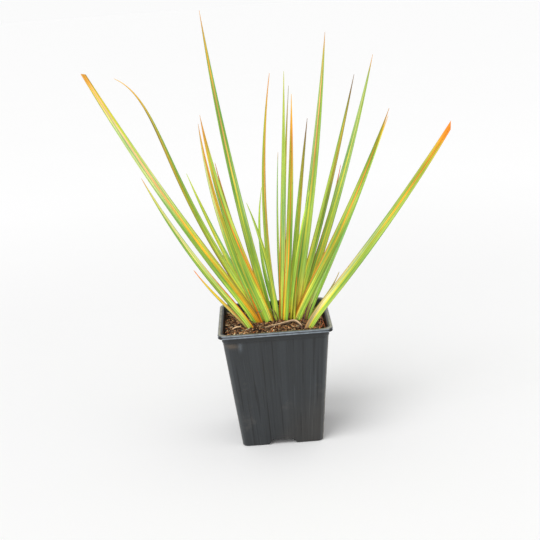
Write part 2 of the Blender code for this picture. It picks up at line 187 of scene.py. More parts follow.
# Loose litter: each tone has its weight
LITTER_TONES = (("#1b1715", 6), ("#42332a", 4), ("#785a42", 5), ("#9a7650", 5), ("#b98e62", 4),
                ("#d2ac80", 3), ("#eed4ae", 2), ("#ad6a40", 3), ("#c47a42", 1))
REDDISH_TONES = (("#9a5638", 3), ("#b87048", 3), ("#7b4028", 2))
TONE_SWING = (0.9, 1.6)
# The litter is lighter and darker in broad patches of noise
CLUMP_SIZE = 5.5
CLUMP_SHIFT = (2, 6, 3)
CLUMP_LIMITS = (-0.28, 0.22)
CLUMP_SHADE = 0.32
CLUMP_SWING = 0.9
# Fibres, with their sizes in millimetres. Rarity is how fast longer ones get rare, and rest is how deep
# in the gaps of the bed a bit can lie. Ends are how narrow a bit's ends are and how soon it narrows.
FIBRE_RADII = (0.14, 0.19, 0.25, 0.33, 0.45)
FIBRE_SEGMENTS = 7
FIBRE_FLATNESS = 0.6
FIBRE_ENDS = (0.55, 0.15)
SHORTEST_FIBRE = 3
LONGEST_FIBRE = 16
FIBRE_RARITY = 0.28
FIBRE_CURL = 0.9
FIBRE_LIFT = (0.05, 0.45)
FIBRE_UNEVENNESS = (-0.25, 0.35)
FIBRE_REST = 0.9
RAISED_FIBRES = 0.12
RAISED_SLOPE = 0.35
# Crumbs, with their sizes in millimetres
SMALLEST_CRUMB = 0.34
BIGGEST_CRUMB = 1.5
CRUMB_RARITY = 3.4
CRUMB_REST = 1.1
CRUMB_LIFT = (0, 0.5)
CRUMB_ROUGHNESS = (0.75, 1.2)
CRUMB_STRETCH = ((0.7, 1.4), (0.6, 1.1), (0.5, 0.9))
# Chips, with their sizes in millimetres, and their section: shares of the half-width and the thickness
CHIP_LENGTH = (1.8, 4.6)
CHIP_SLIMNESS = (0.25, 0.5)
CHIP_THICKNESS = (0.25, 0.5)
CHIP_LIFT = (0.2, 0.7)
CHIP_TILT = 0.35
CHIP_BOW = 0.12
CHIP_ENDS = (0.35, 0.12)
CHIP_TEARS = (0.8, 1.2)
CHIP_SECTIONS = 6
CHIP_SECTION = ((-1, 0), (-0.4, -0.5), (0.5, -0.5), (1, 0), (0.4, 0.5), (-0.5, 0.5))
LITTER_INSET = 0.8 * MM
CRUMB_INSET = 0.6 * MM
CHIP_INSET = 1.5 * MM
# The pale chip at the left, and the bundle of reddish fibres at the right, in millimetres
TAN_CHIP = (-37, -13, 1.3)
TAN_CHIP_TONE = "#eac69c"
TAN_CHIP_SIZE = (9 * MM, 3.4 * MM, 0.8 * MM)
TAN_CHIP_HEADING = 0.25
TAN_CHIP_TILT = 0.12
RED_BUNDLE = ((43, -34, 46, 0), (49, -30, 47.5, 12), (45.5, -26, 49.5, -8), (41, -38, 44, -24))
RED_FIBRE_POINTS = 9
RED_FIBRE_RADII = (0.4, 0.6)
RED_FIBRE_LIFT = (0.5, 1.0)
RED_FIBRE_WOBBLE = 0.4

# Leaf blades
FOLD_SHARE = 0.07
WIDTH_AT_FOOT = 0.86
FULL_WIDTH_AT = 0.18
TAPER_POWER = 2.2
TAPER_BLUNTNESS = 0.9
BLUNT_TIP = 0.8 * MM
TIP_SHARE = 0.96
CROWN_UPRIGHT = 0.35
CROWN_REACH = 14 * MM
ROOT_DEPTH = 7 * MM
ROOT_PULL = 0.35
HOOK_POWER = 9
RING_STEP = 3.6 * MM
SHORT_RING_STEP = 2 * MM
SHORT_LEAF = 60 * MM
FEWEST_RINGS = 16
TIP_RINGS = (0.3, 0.55, 0.75, 0.9, 1)
ACROSS = (0, 0.1, 0.22, 0.34, 0.46, 0.58, 0.7, 0.82, 0.93, 1)
RIPPLE_TURN = 2.5
RIPPLE_WAVES = 1.7
RIPPLE_SHIFT = 0.37
RIPPLE_START = (0.05, 0.4)
SLANT_START = 0.9
MARGIN_THINNING = 3
FOLD_ROUNDING = 1.3
VEINED = 0.95
SHEATH_END = (0.06, 0.26)
RIB_SPREAD = 0.14
FLESHY_HALF = 1.6 * MM
THINNEST = 0.28 * MM
CROWN_SIDES = 28
CROWN_PROFILE = ((14 * MM, 0.55), (11.2 * MM, 0.82), (6.3 * MM, 1), (2 * MM, 0.9), (0.4 * MM, 0.6))
# Painted light: the blades are made brighter than their skin all over, and more at the foot, in place of
# the light that the thin leaves let through and to lift the shade among the leaf bases
LEAF_GAIN = (1.27, 1.14, 1.08)
BASE_GAIN = 0.5
BASE_SHARE = 0.3
FOOT_GAIN = 0.8
FOOT_GLOW = 9 * MM
BRIGHTEST = 0.96
SOILED = 0.25
SOILED_HEIGHT = 3 * MM
STRIPE_START = 0.02
TIP_FULL = 0.25
MARGIN_FADE = (0.18, 0.5)
FADED_MARGIN = 0.15
SEED_STEP = 3.7
# How far the veins' streaks darken and lighten the red, green and blue of a blade
STREAK_SWINGS = ((0.5, 1.32), (0.75, 1.16), (0.7, 1.08))
BLADE_TONES = ("left_tone", "right_tone", "stripe_tone", "margin_tone", "glow_tone")
BLADE_FORMS = ("blade_place", "stripe_form", "margin_form")

# Dried leaf and scraps
# The dried leaf's run over the compost, in millimetres from the pot's middle, and its extra rise
DRY_RUN = ((-9.5, -22.5, 0), (-2, -20.5, 0.4), (4.8, -19, 0.9), (12.2, -15.5, 1.5), (19.5, -13.5, 2.1),
           (23.6, -18, 1.1), (25.6, -22.6, 0))
DRY_WIDTH = 3.4 * MM
DRY_THICKNESS = 0.45 * MM
DRY_ARCH = 0.35 * MM
DRY_REST = 0.9 * MM
DRY_BANK = 12
DRY_TWIST = 0.2
DRY_STREAK = "#9a7258"
# Torn sheaths between the leaf bases: foot, top (with heights over the mound) and width, in millimetres
SHEATHS = (((28.6, -12, -0.5), (34.5, -4, 19), 1.2), ((27, -9, -0.5), (30.5, 0, 13), 1.0),
           ((31, -12, -0.5), (38, -6, 18), 0.9), ((4, -7, -0.5), (0.5, -8, 12), 1.3),
           ((1.5, -7.5, -0.5), (-1, -9, 8), 1.1), ((14.5, -6, -0.5), (16, -7, 9), 1.1),
           ((-19, -8, -0.5), (-22, -10, 5), 1.2), ((25, -22, 1.6), (25.5, -30, 0.6), 0.8),
           ((25.5, -22.4, 1.4), (29.5, -29.5, 0.6), 0.7), ((24.2, -20.5, 1.8), (22, -28.5, 0.6), 0.6))
SHEATH_THICKNESS = 0.3 * MM
SHEATH_TWIST = 0.5
# Pale curled threads between the leaves: the points of each, in millimetres
TENDRILS = (((-17.5, -12, 15.5), (-15, -13, 17.6), (-12.8, -12.5, 17.2), (-11, -11, 18.6)),
            ((-5, -12, 18), (-3, -13, 19.4), (-1, -12.5, 17.2), (0.6, -11.5, 12)))
TENDRIL_WIDTH = 0.6 * MM
TENDRIL_ARCH = 0.05 * MM
TENDRIL_TWIST = 1.5
STRIP_ACROSS = (-1, -0.75, -0.5, -0.25, 0, 0.25, 0.5, 0.75, 1)
STRIP_ENDS = (0.3, 0.08, 0.6)
# The waves of a strip's surface: height as a share of its thickness, waves across and along it
STRIP_CURL = 0.18
STRIP_WAVES = (9, 14)
RUN_STEPS = 8

# Stage
CAMERA_AROUND = math.radians(-0.24)
CAMERA_TARGET = (-0.43 * MM, 165.7 * MM)
FOCAL_PIXELS = 1041
PICTURE_PIXELS = 540
SENSOR = 36
FLOOR_REACH = 150.0
FLOOR_DROP = 0.1 * MM
FLOOR_GLOW = 0.085
FLOOR_GLOW_REACH = (0.25, 1.6)
OVERHEAD_PLACE = (-0.9, -1.0, 1.9)
OVERHEAD_SPREAD = 40
# The two large lights: place, target, and width and height
FRONT_LIGHT = ((-0.5, -2.5, 0.75), (0, 0, 0.2), (2.0, 1.6))
FILL_LIGHT = ((1.7, -0.9, 1.0), (0, 0, 0.16), (1.4, 1.4))
FILL_TONE = (1, 0.98, 0.95)

TONES = {
    "shade_green": "#567a30", "deep_green": "#678f35", "mid_green": "#7aa63e", "fresh_green": "#8db64a",
    "light_green": "#a2c656", "pale_green": "#b8d086", "sage": "#92bd70", "moss": "#9ab338",
    "lime": "#b5cc3c", "pale_lime": "#d2de68", "yellow_green": "#c0c944", "olive": "#a59c2c",
    "dull_olive": "#8d8a35", "yellow": "#e6d648", "pale_yellow": "#efdf8e", "gold": "#e6b72c",
    "mustard": "#cfb52a", "amber": "#d49a3a", "orange": "#ee9018", "apricot": "#f4a850",
    "salmon": "#efb77c", "pale_salmon": "#f3d3a6", "rust": "#c4682c", "red_brown": "#8c4a30",
    "plum": "#6d4640", "brown": "#7a5a2e", "tan": "#c3a35a", "grey_straw": "#b8b090",
    "dark_brown": "#4a3322",
}

# A leaf's foot, length and width are in millimetres. Lean is its slant to the right and nod its slant
# to the back where it leaves the crown, and bend and dip are what they gain by the tip. Turn is how far
# the blade faces away from the front, hook is extra lean near the tip, and cut is the share of the
# blade that is left where its point has been cut off, at a slant across the blade.
Leaf = namedtuple("Leaf", "foot lean bend nod dip length width turn hook cut slant", defaults=(0, 1, 0))

# Left and right are the tones of a blade's two halves from foot to tip, and stripe those of the bright
# line, which starts at one place across (side) and has settled at another (end) by a share of the
# length (settle). Width and strength are the line's, low down and higher up. Margins are the strengths
# of the thin lines on the left and right margins, margin is their tone, and glow is that of the bright
# line inside them. Tip is the tone of the tip's last share (tip_reach). Gain is painted light that
# brightens the blade at its foot and above, and swell is the share by which its sheathing foot is wider.
Look = namedtuple("Look", "left right stripe side width strength margins margin glow settle end tip"
                          " tip_reach gain swell",
                  defaults=((0, 0), "red_brown", "amber", 0.3, 0, "amber", 0.08, (1, 1), 0))
Fan = namedtuple("Fan", "crown crown_size leaves")

FANS = {
    "leaf_fan_outer_left": Fan((-24, -15), (4.8, 3.2), (
        (Leaf((-26.5, -14), -46, 18, -10, -12, 83, 3.4, 10), Look(
            "pale_yellow pale_yellow yellow yellow gold", "salmon salmon yellow yellow gold",
            "apricot amber gold gold orange", 0.35, (0.35, 0.4), (0.7, 0.6), margins=(0.1, 0.3),
            margin="rust", glow="gold", tip="orange", tip_reach=0.25, gain=(2.4, 1.7))),
        (Leaf((-23, -16.5), -38, 16.5, -6, -10, 185, 6.8, 12), Look(
            "fresh_green deep_green mid_green fresh_green light_green yellow_green",
            "yellow light_green pale_green pale_green pale_green yellow_green",
            "pale_lime pale_lime pale_lime pale_yellow pale_yellow yellow", 0, (0.3, 0.32), (0.9, 0.8),
            margins=(0.1, 1), margin="plum", glow="orange", gain=(1.3, 1.02))),
    )),
    "leaf_fan_left": Fan((-10.5, -1.5), (7.5, 5.5), (
        (Leaf((-17, -4.5), -33.5, 9.5, -3, -10, 291, 9.6, 0, cut=0.82, slant=-0.7), Look(
            "mid_green mid_green fresh_green pale_green pale_green gold",
            "orange yellow_green light_green pale_green lime gold",
            "gold gold gold salmon pale_salmon salmon", 0.25, (0.6, 0.34), (1, 0.95),
            margins=(0.1, 0.5), settle=0.35, end=0.1, tip_reach=0.06, gain=(1.8, 1.04))),
        (Leaf((-12.5, -0.5), -32.5, 22, 2, 3, 276, 6.2, 15, hook=-55), Look(
            "yellow_green lime moss olive dull_olive tan",
            "lime light_green fresh_green mid_green moss tan",
            "pale_lime pale_lime yellow_green olive tan tan", -0.2, (0.3, 0.3), (0.7, 0.8),
            margins=(0.9, 0.2), margin="brown", tip="gold", tip_reach=0.2, gain=(1.45, 0.95))),
        (Leaf((-12, -6), -24, 10.5, -8, -6, 40, 2.2, 0), Look(
            "orange orange", "orange apricot", "apricot orange", 0, (0.4, 0.4), (0.6, 0.6),
            margins=(0.7, 0.5), glow="orange", tip="orange", tip_reach=0.3, gain=(2.4, 1.9))),
        (Leaf((-14, 4), -27.5, 5.5, 16, 14, 167, 6.4, 35), Look(
            "yellow_green light_green pale_lime yellow_green light_green pale_lime",
            "lime lime sage sage yellow_green lime", "brown lime light_green yellow yellow lime", 0,
            (0.3, 0.35), (0.8, 0.9), margins=(0.4, 0.3), glow="gold", tip="lime", gain=(1.4, 1.35))),
        (Leaf((-12, -2.5), -23, 19.5, -1, -3, 205, 7.6, 8), Look(
            "brown light_green light_green pale_green pale_green gold",
            "light_green mid_green fresh_green mustard amber amber",
            "amber moss yellow_green amber amber gold", -0.3, (0.3, 0.3), (0.9, 0.9),
            margins=(0.6, 0.4), end=0.1, gain=(1.5, 1.0))),
        (Leaf((-8.5, -1.5), -18, 8.5, 3, 6, 163, 5.2, 20), Look(
            "lime mid_green mid_green mid_green moss olive",
            "mid_green mid_green moss mustard olive tan", "moss mid_green moss gold olive amber", 0.1,
            (0.25, 0.3), (0.5, 0.9), margins=(0.2, 0.3), margin="brown", end=0.1,
            tip_reach=0.3, gain=(0.92, 0.85))),
        (Leaf((-4.5, -6.5), -21.5, 16, -5, -9, 219, 9.6, 4), Look(
            "mid_green mid_green moss mid_green yellow_green gold",
            "pale_lime lime light_green light_green light_green amber",
            "gold orange orange orange amber gold", 0.8, (0.3, 0.17), (1, 1), margins=(0.2, 1),
            margin="orange", glow="gold", settle=0.75, end=-0.28, tip_reach=0.22,
            gain=(1.0, 0.95))),
    )),
    "leaf_fan_middle": Fan((6, 1.5), (6.3, 6.5), (
        (Leaf((-4, 4.8), -12, 7, 0, 2, 304, 8.2, 0), Look(
            "yellow_green light_green fresh_green mid_green mid_green olive",
            "deep_green fresh_green sage mid_green fresh_green olive",
            "yellow_green moss yellow_green tan apricot amber", -0.1, (0.3, 0.38), (0.9, 1),
            margins=(0.4, 0.2), margin="brown", glow="olive", gain=(1.1, 0.98))),
        (Leaf((2.5, -4.5), -1.5, -15, -14, -16, 141, 5.2, 25), Look(
            "fresh_green fresh_green mid_green light_green light_green",
            "fresh_green light_green moss moss moss",
            "moss yellow_green yellow_green pale_lime yellow_green", 0, (0.3, 0.3), (0.7, 0.8),
            margins=(0.3, 0.3), margin="brown", glow="olive", tip="lime", gain=(1.3, 1.1), swell=0.35)),
        (Leaf((3.5, 8), -19.5, 33.5, 20, 22, 141, 5.6, 50), Look(
            "mid_green mid_green fresh_green light_green moss",
            "fresh_green mid_green light_green lime moss", "lime mid_green lime lime moss", 0,
            (0.25, 0.25), (0.5, 0.6), tip="moss", gain=(1.55, 1.55))),
        (Leaf((3, -1.5), -6.5, 17.5, 2, 5, 240, 5.4, 25), Look(
            "fresh_green fresh_green fresh_green moss moss amber",
            "fresh_green light_green olive amber gold gold", "moss yellow_green tan tan amber gold",
            0.1, (0.3, 0.32), (0.8, 0.9), margins=(0.4, 0.5), margin="brown", end=0.2,
            tip_reach=0.15, gain=(1.3, 1.05))),
        (Leaf((8, 9), 0, 7.5, 20, 24, 179, 4.4, 55), Look(
            "salmon light_green light_green sage sage sage",
            "apricot light_green light_green light_green pale_green sage",
            "amber yellow_green light_green light_green sage sage", 0, (0.3, 0.3), (0.7, 0.6),
            margins=(0.3, 0.2), margin="brown", glow="salmon", tip="tan", gain=(1.35, 1.2),
            swell=0.25)),
        (Leaf((7.5, -0.5), 5, -1, 0, 0, 241, 5.8, -12), Look(
            "orange mid_green light_green light_green light_green yellow_green",
            "mid_green light_green sage light_green light_green yellow_green",
            "pale_lime light_green pale_green light_green yellow_green yellow_green", -0.1, (0.36, 0.3),
            (1, 0.7), margins=(1, 0.2), margin="rust", glow="orange", tip="yellow_green",
            gain=(1.35, 0.97))),
        (Leaf((11, 6.5), 3, 5, 9, 14, 232, 5.4, -55), Look(
            "yellow_green fresh_green light_green light_green moss tan",
            "light_green yellow_green mid_green yellow_green tan tan", "lime amber moss moss olive tan",
            0, (0.3, 0.3), (0.6, 0.8), margins=(0.4, 0.2), margin="brown", tip="grey_straw",
            tip_reach=0.16, gain=(1, 0.9))),
        (Leaf((11, -5.5), 7, -4.5, -8, -14, 234, 6.8, -6), Look(
            "yellow pale_lime moss moss olive orange",
            "mid_green mid_green mid_green moss amber orange", "lime gold orange orange orange orange",
            -0.5, (0.3, 0.24), (0.9, 1), margins=(1, 0.2), glow="orange", end=0.1, tip="gold",
            tip_reach=0.2, gain=(1.2, 1.05))),
    )),
    "leaf_fan_right": Fan((20.5, 2.5), (6.2, 6.8), (
        (Leaf((17, 3.5), 7.5, 3, 5, 8, 197, 6.4, -25), Look(
            "olive moss mid_green fresh_green dull_olive brown",
            "light_green light_green fresh_green olive dull_olive brown",
            "amber lime moss olive olive brown", -0.1, (0.3, 0.3), (0.8, 0.9), margins=(0.4, 0.2),
            tip="brown", tip_reach=0.15, gain=(2.1, 1.05))),
        (Leaf((15.5, -3), 8.5, 6, -7, -8, 137, 4.6, -40), Look(
            "rust light_green light_green yellow_green light_green fresh_green",
            "yellow light_green fresh_green fresh_green light_green fresh_green",
            "gold lime lime light_green yellow_green light_green", 0, (0.3, 0.25), (0.8, 0.6),
            margins=(0.5, 0.1), glow="orange", tip="light_green", tip_reach=0.1, gain=(2.8, 1.35),
            swell=0.15)),
        (Leaf((20, -0.5), 12.5, -6, -2, -4, 279, 9.2, 0), Look(
            "lime deep_green light_green sage sage yellow_green",
            "gold light_green light_green fresh_green fresh_green light_green",
            "brown moss yellow_green apricot salmon apricot", 0.1, (0.3, 0.36), (0.9, 1),
            margins=(0.5, 0.2), end=-0.05, gain=(1.05, 1.0))),
        (Leaf((19.6, -4.8), 5.5, 4, -4, -4, 46, 2.4, -10), Look(
            "fresh_green olive orange", "lime light_green orange", "olive orange", -0.5, (0.4, 0.4),
            (0.6, 0.7), margins=(0.9, 0.4), margin="brown", glow="olive", tip="orange",
            tip_reach=0.35)),
        (Leaf((21.5, 4.5), 20, -4.5, 5, 2, 244, 6.8, -18), Look(
            "brown yellow_green light_green fresh_green mid_green brown",
            "yellow fresh_green deep_green dull_olive olive brown",
            "orange light_green mustard olive tan brown", 0, (0.35, 0.3), (0.9, 0.8),
            margins=(0.6, 0.2), tip="brown", tip_reach=0.12, gain=(1.5, 1.05))),
        (Leaf((26, 7), 23.5, -7, 6, 5, 267, 8.4, -12), Look(
            "yellow mid_green mid_green sage sage sage",
            "mid_green moss fresh_green sage fresh_green fresh_green",
            "pale_lime mustard moss yellow_green pale_yellow apricot", 0, (0.3, 0.36), (0.9, 0.9),
            margins=(0.5, 0.3), glow="orange", gain=(1.15, 1.05))),
        (Leaf((24.5, 11), 27, -7.5, 20, 20, 168, 5.6, -45), Look(
            "yellow mid_green mid_green sage sage tan",
            "pale_lime olive dull_olive dull_olive mid_green tan",
            "pale_lime gold olive olive mid_green tan", 0, (0.35, 0.3), (0.7, 0.8), margins=(0.3, 0.2),
            tip="rust", tip_reach=0.2, gain=(1.7, 1.2))),
        (Leaf((22, -4), 31, -11.5, -8, -9, 231, 9.2, -4), Look(
            "orange light_green fresh_green light_green moss olive",
            "mid_green mid_green moss light_green mid_green gold",
            "pale_lime yellow_green gold amber orange gold", -0.2, (0.42, 0.3), (0.9, 1),
            margins=(0.75, 0.2), margin="rust", glow="orange", settle=0.5, end=0.08,
            tip_reach=0.1, gain=(1.3, 0.93))),
    )),
    "leaf_fan_outer_right": Fan((32.5, 0.5), (4, 3.2), (
        (Leaf((32, 0), 27.5, -4.5, 0, -1, 214, 6.8, -12), Look(
            "dull_olive sage pale_green pale_lime gold yellow",
            "mid_green mid_green sage mid_green light_green yellow",
            "brown pale_green yellow_green yellow_green yellow_green yellow", -0.1, (0.28, 0.3),
            (0.8, 0.8), margins=(1, 0.2), margin="brown", glow="salmon", tip="gold", tip_reach=0.1,
            gain=(1.6, 1.35))),
        (Leaf((34, 2), 56, -28.5, 6, 10, 56, 2.6, 0), Look(
            "mid_green moss moss olive amber", "olive olive olive tan amber",
            "olive dull_olive moss tan amber", 0, (0.4, 0.4), (0.4, 0.5), margins=(0.2, 0.1),
            margin="brown", tip="tan", tip_reach=0.25, gain=(1.1, 1.2))),
    )),
    "leaf_front_right": Fan((32.5, -25.5), (4.6, 3), (
        (Leaf((32.5, -25.5), 42, -10.5, -5, -9, 236, 9, 0, cut=0.78, slant=-1.7), Look(
            "pale_salmon pale_green pale_green light_green moss gold",
            "fresh_green fresh_green fresh_green light_green moss gold",
            "yellow_green yellow_green yellow_green gold orange orange", 0.05, (0.26, 0.3), (0.9, 1),
            margins=(0.5, 0.1), margin="salmon", glow="salmon", settle=0.4, tip="orange", tip_reach=0.1,
            gain=(1.1, 0.92))),
    )),
}


# Colours and settings
def linear(text):
    """Return a hex colour, as it is seen on a screen, as linear red, green and blue."""
    channels = [int(text[i:i + 2], 16) / 255 for i in (1, 3, 5)]
    return tuple(c / 12.92 if c <= 0.04045 else ((c + 0.055) / 1.055) ** 2.4 for c in channels)


def blend(first, second, share):
    """Return the number or colour that lies a share of the way from one to another."""
    if isinstance(first, tuple):
        return tuple(blend(a, b, share) for a, b in zip(first, second))
    return first + (second - first) * share


def tone_along(run, share):
    """Return the colour at a share of a run of evenly spaced named tones."""
    names = run.split()
    place = min(max(share, 0), 1) * (len(names) - 1)
    low = min(int(place), len(names) - 2)
    return blend(linear(TONES[names[low]]), linear(TONES[names[low + 1]]), place - low)


def ease(low, high, value):
    """Return a smooth step from 0 at one value to 1 at another."""
    share = min(max((value - low) / (high - low), 0), 1)
    return share * share * (3 - 2 * share)


def hump(value, place, spread):
    """Return a soft hump, 1 at a place and fading over a spread."""
    return math.exp(-((value - place) / spread) ** 2)


def number_property(name, description, default, low, high, **more):
    """Return a number that the user can set."""
    return bpy.props.FloatProperty(name=name, description=description, default=default, min=low,
                                   max=high, **more)


def length_property(name, description, default, low, high, **more):
    """Return a length that the user can set."""
    return number_property(name, description, default, low, high, unit="LENGTH", **more)


def angle_property(name, description, degrees):
    """Return an angle that the user can set."""
    return bpy.props.FloatProperty(name=name, description=description, default=math.radians(degrees),
                                   subtype="ANGLE")


def count_property(name, description, default, high):
    """Return a count that the user can set."""
    return bpy.props.IntProperty(name=name, description=description, default=default, min=0, max=high)


def colour_property(name, description, default):
    """Return a colour that the user can set. Its default is a hex colour or is linear."""
    tone = linear(default) if isinstance(default, str) else default
    return bpy.props.FloatVectorProperty(name=name, description=description, default=tone, size=3,
                                         min=0, max=1, subtype="COLOR")


# Meshes
def write_points(mesh, name, kind, rows):
    """Write a mesh attribute, with a value for each point."""
    mesh.attributes.new(name, kind, "POINT").data.foreach_set(FIELDS[kind], rows)


class Heap:
    """Points and faces of many small shapes, with named values at each point, kept for one mesh."""

    def __init__(self, tones, vectors=()):
        self.kinds = {**dict.fromkeys(tones, COLOUR), **dict.fromkeys(vectors, VECTOR)}
        self.points = []
        self.faces = []
        self.values = {name: [] for name in self.kinds}

    def add(self, shape, **values):
        """Add one shape. Each value is either one for the whole shape or a list with one a point."""
        points, faces = shape
        start = len(self.points)
        self.points.extend(points)
        self.faces.extend([tuple(start + corner for corner in face) for face in faces])
        for name, value in values.items():
            self.values[name].extend(value if isinstance(value, list) else [value] * len(points))

    def mesh(self, name):
        """Return the heap as a mesh with its values as point attributes."""
        mesh = mesh_of(name, self.points, self.faces)
        for label, kind in self.kinds.items():
            rows = self.values[label]
            if kind == COLOUR:
                rows = [(*value, 1) for value in rows]
            write_points(mesh, label, kind, [number for row in rows for number in row])
        mesh.update()
        return mesh


def mesh_of(name, points, faces):
    """Return a mesh with these points and faces."""
    mesh = bpy.data.meshes.new(name)
    mesh.from_pydata(points, [], faces)
    return mesh


def mesh_from(name, shape):
    """Return a finished bmesh as a mesh."""
    mesh = bpy.data.meshes.new(name)
    shape.to_mesh(mesh)
    shape.free()
    return mesh


def put(name, data):
    """Return a new object in the scene for a mesh, a light or a camera."""
    made = bpy.data.objects.new(name, data)
    bpy.context.scene.collection.objects.link(made)
    return made


def place_piece(name, mesh, surface, angle=None):
    """Put a mesh in the scene as a piece of the object, with its material and its smooth shading."""
    if not mesh.polygons:
        raise RuntimeError(f"{name} has no faces")
    piece = put(name, mesh)
    mesh.materials.clear()
    mesh.materials.append(surface)
    mesh.shade_smooth()
    if angle:
        mesh.set_sharp_from_angle(angle=math.radians(angle))
    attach(piece, "root")
    return piece


def skin(rings):
    """Return the points and faces of a closed solid that is skinned over rings of equal counts."""
    points = [point for ring in rings for point in ring]
    count = len(rings[0])
    faces = [tuple(reversed(range(count)))]
    for low in range(0, len(points) - count, count):
        for i in range(count):
            j = (i + 1) % count
            faces.append((low + i, low + j, low + count + j, low + count + i))
    faces.append(tuple(range(len(points) - count, len(points))))
    return points, faces


def solid_from_rings(name, rings):
    """Skin rings of points into a solid with its faces outward, as an object."""
    mesh = mesh_of(name, *skin(rings))
    face_outward(mesh)
    return put(name, mesh)


def ellipse(middle, half_x, half_y, height, sides):
    """Return the points of a level ellipse."""
    return [Vector((middle[0] + half_x * math.cos(math.tau * side / sides),
                    middle[1] + half_y * math.sin(math.tau * side / sides), height))
            for side in range(sides)]


def face_outward(mesh):
    """Turn a closed mesh's faces outward."""
    shape = bmesh.new()
    shape.from_mesh(mesh)
    bmesh.ops.recalc_face_normals(shape, faces=shape.faces)
    shape.to_mesh(mesh)
    shape.free()


def cut_away(body, tools):
    """Cut tools from a body with one exact Boolean, and remove the tools."""
    group = bpy.data.collections.new(body.name + "_tools")
    bpy.context.scene.collection.children.link(group)
    for tool in tools:
        for home in list(tool.users_collection):
            home.objects.unlink(tool)
        group.objects.link(tool)
    step = body.modifiers.new("cut", "BOOLEAN")
    step.operation = "DIFFERENCE"
    step.operand_type = "COLLECTION"
    step.collection = group
    step.solver = "EXACT"
    evaluated = body.evaluated_get(bpy.context.evaluated_depsgraph_get())
    result = bpy.data.meshes.new_from_object(evaluated)
    body.modifiers.clear()
    body.data = result
    for tool in list(group.objects):
        bpy.data.objects.remove(tool)
    bpy.data.collections.remove(group)


# Shader helpers
class Wiring:
    """A node tree that is being wired: it adds nodes, sets their sockets and joins them."""

    def __init__(self, tree):
        self.tree = tree

    def node(self, kind, sockets=None, **settings):
        """Add a node, with its settings and with values or other sockets on its inputs."""
        made = self.tree.nodes.new("ShaderNode" + kind)
        for key, value in settings.items():
            setattr(made, key, value)
        for key, value in (sockets or {}).items():
            self.feed(made.inputs[key], value)
        return made

    def feed(self, socket, value):
        """Join a socket to another, or set its value."""
        if isinstance(value, bpy.types.NodeSocket):
            self.tree.links.new(value, socket)
        else:
            socket.default_value = value

    def math(self, operation, first, second=0.0):
        """Return the result of a Math node."""
        return self.node("Math", {0: first, 1: second}, operation=operation).outputs[0]

    def times(self, first, second):
        """Return the product of two values."""
        return self.math("MULTIPLY", first, second)

    def plus(self, first, second):
        """Return the sum of two values."""
        return self.math("ADD", first, second)

    def minus(self, first, second):
        """Return one value less another."""
        return self.math("SUBTRACT", first, second)

    def size(self, value):
        """Return a value without its sign."""
        return self.math("ABSOLUTE", value)

    def mix(self, share, first, second, how="MIX"):
        """Return the result of mixing two colours."""
        return self.node("Mix", {0: share, 6: first, 7: second}, data_type="RGBA",
                         blend_type=how).outputs[2]

    def tint(self, colour, mask, share, tone):
        """Return a colour with a tone over it, by a share of a mask."""
        return self.mix(self.times(mask, share), colour, (*tone, 1))

    def colour(self, parts):
        """Return a colour with these red, green and blue parts."""
        return self.node("CombineColor", dict(enumerate(parts))).outputs[0]

    def shade(self, colour, bright):
        """Return a colour multiplied by a brightness."""
        return self.mix(1.0, colour, self.colour([bright] * 3), "MULTIPLY")

    def step(self, value, low, high, bottom=0.0, top=1.0):
        """Return a smooth step of a value between two limits."""
        limits = {"Value": value, "From Min": low, "From Max": high, "To Min": bottom, "To Max": top}
        return self.node("MapRange", limits, interpolation_type="SMOOTHSTEP").outputs[0]

    def noise(self, place, scale, detail=3.0, roughness=0.55):
        """Return the value of a Noise Texture."""
        return self.node("TexNoise", {"Vector": place, "Scale": scale, "Detail": detail,
                                      "Roughness": roughness}).outputs[0]

    def scaled(self, vector, factors):
        """Return a vector with each of its parts multiplied."""
        return self.node("VectorMath", {0: vector, 1: factors}, operation="MULTIPLY").outputs[0]

    def place(self):
        """Return the surface's own coordinates."""
        return self.node("TexCoord").outputs["Object"]

    def attribute(self, name, output="Color"):
        """Return one of a mesh attribute's outputs."""
        return self.node("Attribute", attribute_name=name).outputs[output]

    def parts(self, vector):
        """Return the three parts of a vector."""
        return self.node("SeparateXYZ", {0: vector}).outputs

    def written(self, name):
        """Return the three parts of a mesh attribute."""
        return self.parts(self.attribute(name, "Vector"))

    def group(self, tree, **sockets):
        """Place a node group, with values on the inputs of these names, and return its outputs."""
        made = self.node("Group", node_tree=tree)
        for key, value in sockets.items():
            self.feed(made.inputs[key.replace("_", " ").title()], value)
        return made.outputs


def effect(outputs, **inputs):
    """Turn a function that wires an effect into one that returns its node group, made at its first use.

    An input without a value is a place, one with four numbers is a colour, and the rest are values.
    """
    def adopt(build):
        def tree():
            name = build.__name__
            if name in bpy.data.node_groups:
                return bpy.data.node_groups[name]
            made = bpy.data.node_groups.new(name, "ShaderNodeTree")
            for label, value in inputs.items():
                kind = "Vector" if value is None else "Color" if isinstance(value, tuple) else "Float"
                socket = made.interface.new_socket(label.replace("_", " ").title(), in_out="INPUT",
                                                   socket_type="NodeSocket" + kind)
                if value is not None:
                    socket.default_value = value
            for label in outputs:
                kind = "Color" if label == "Tone" else "Float"
                made.interface.new_socket(label, in_out="OUTPUT", socket_type="NodeSocket" + kind)
            start = made.nodes.new("NodeGroupInput")
            end = made.nodes.new("NodeGroupOutput")
            wires = Wiring(made)
            for label, socket in zip(outputs, build(wires, start.outputs)):
                wires.feed(end.inputs[label], socket)
            return made
        return tree
    return adopt


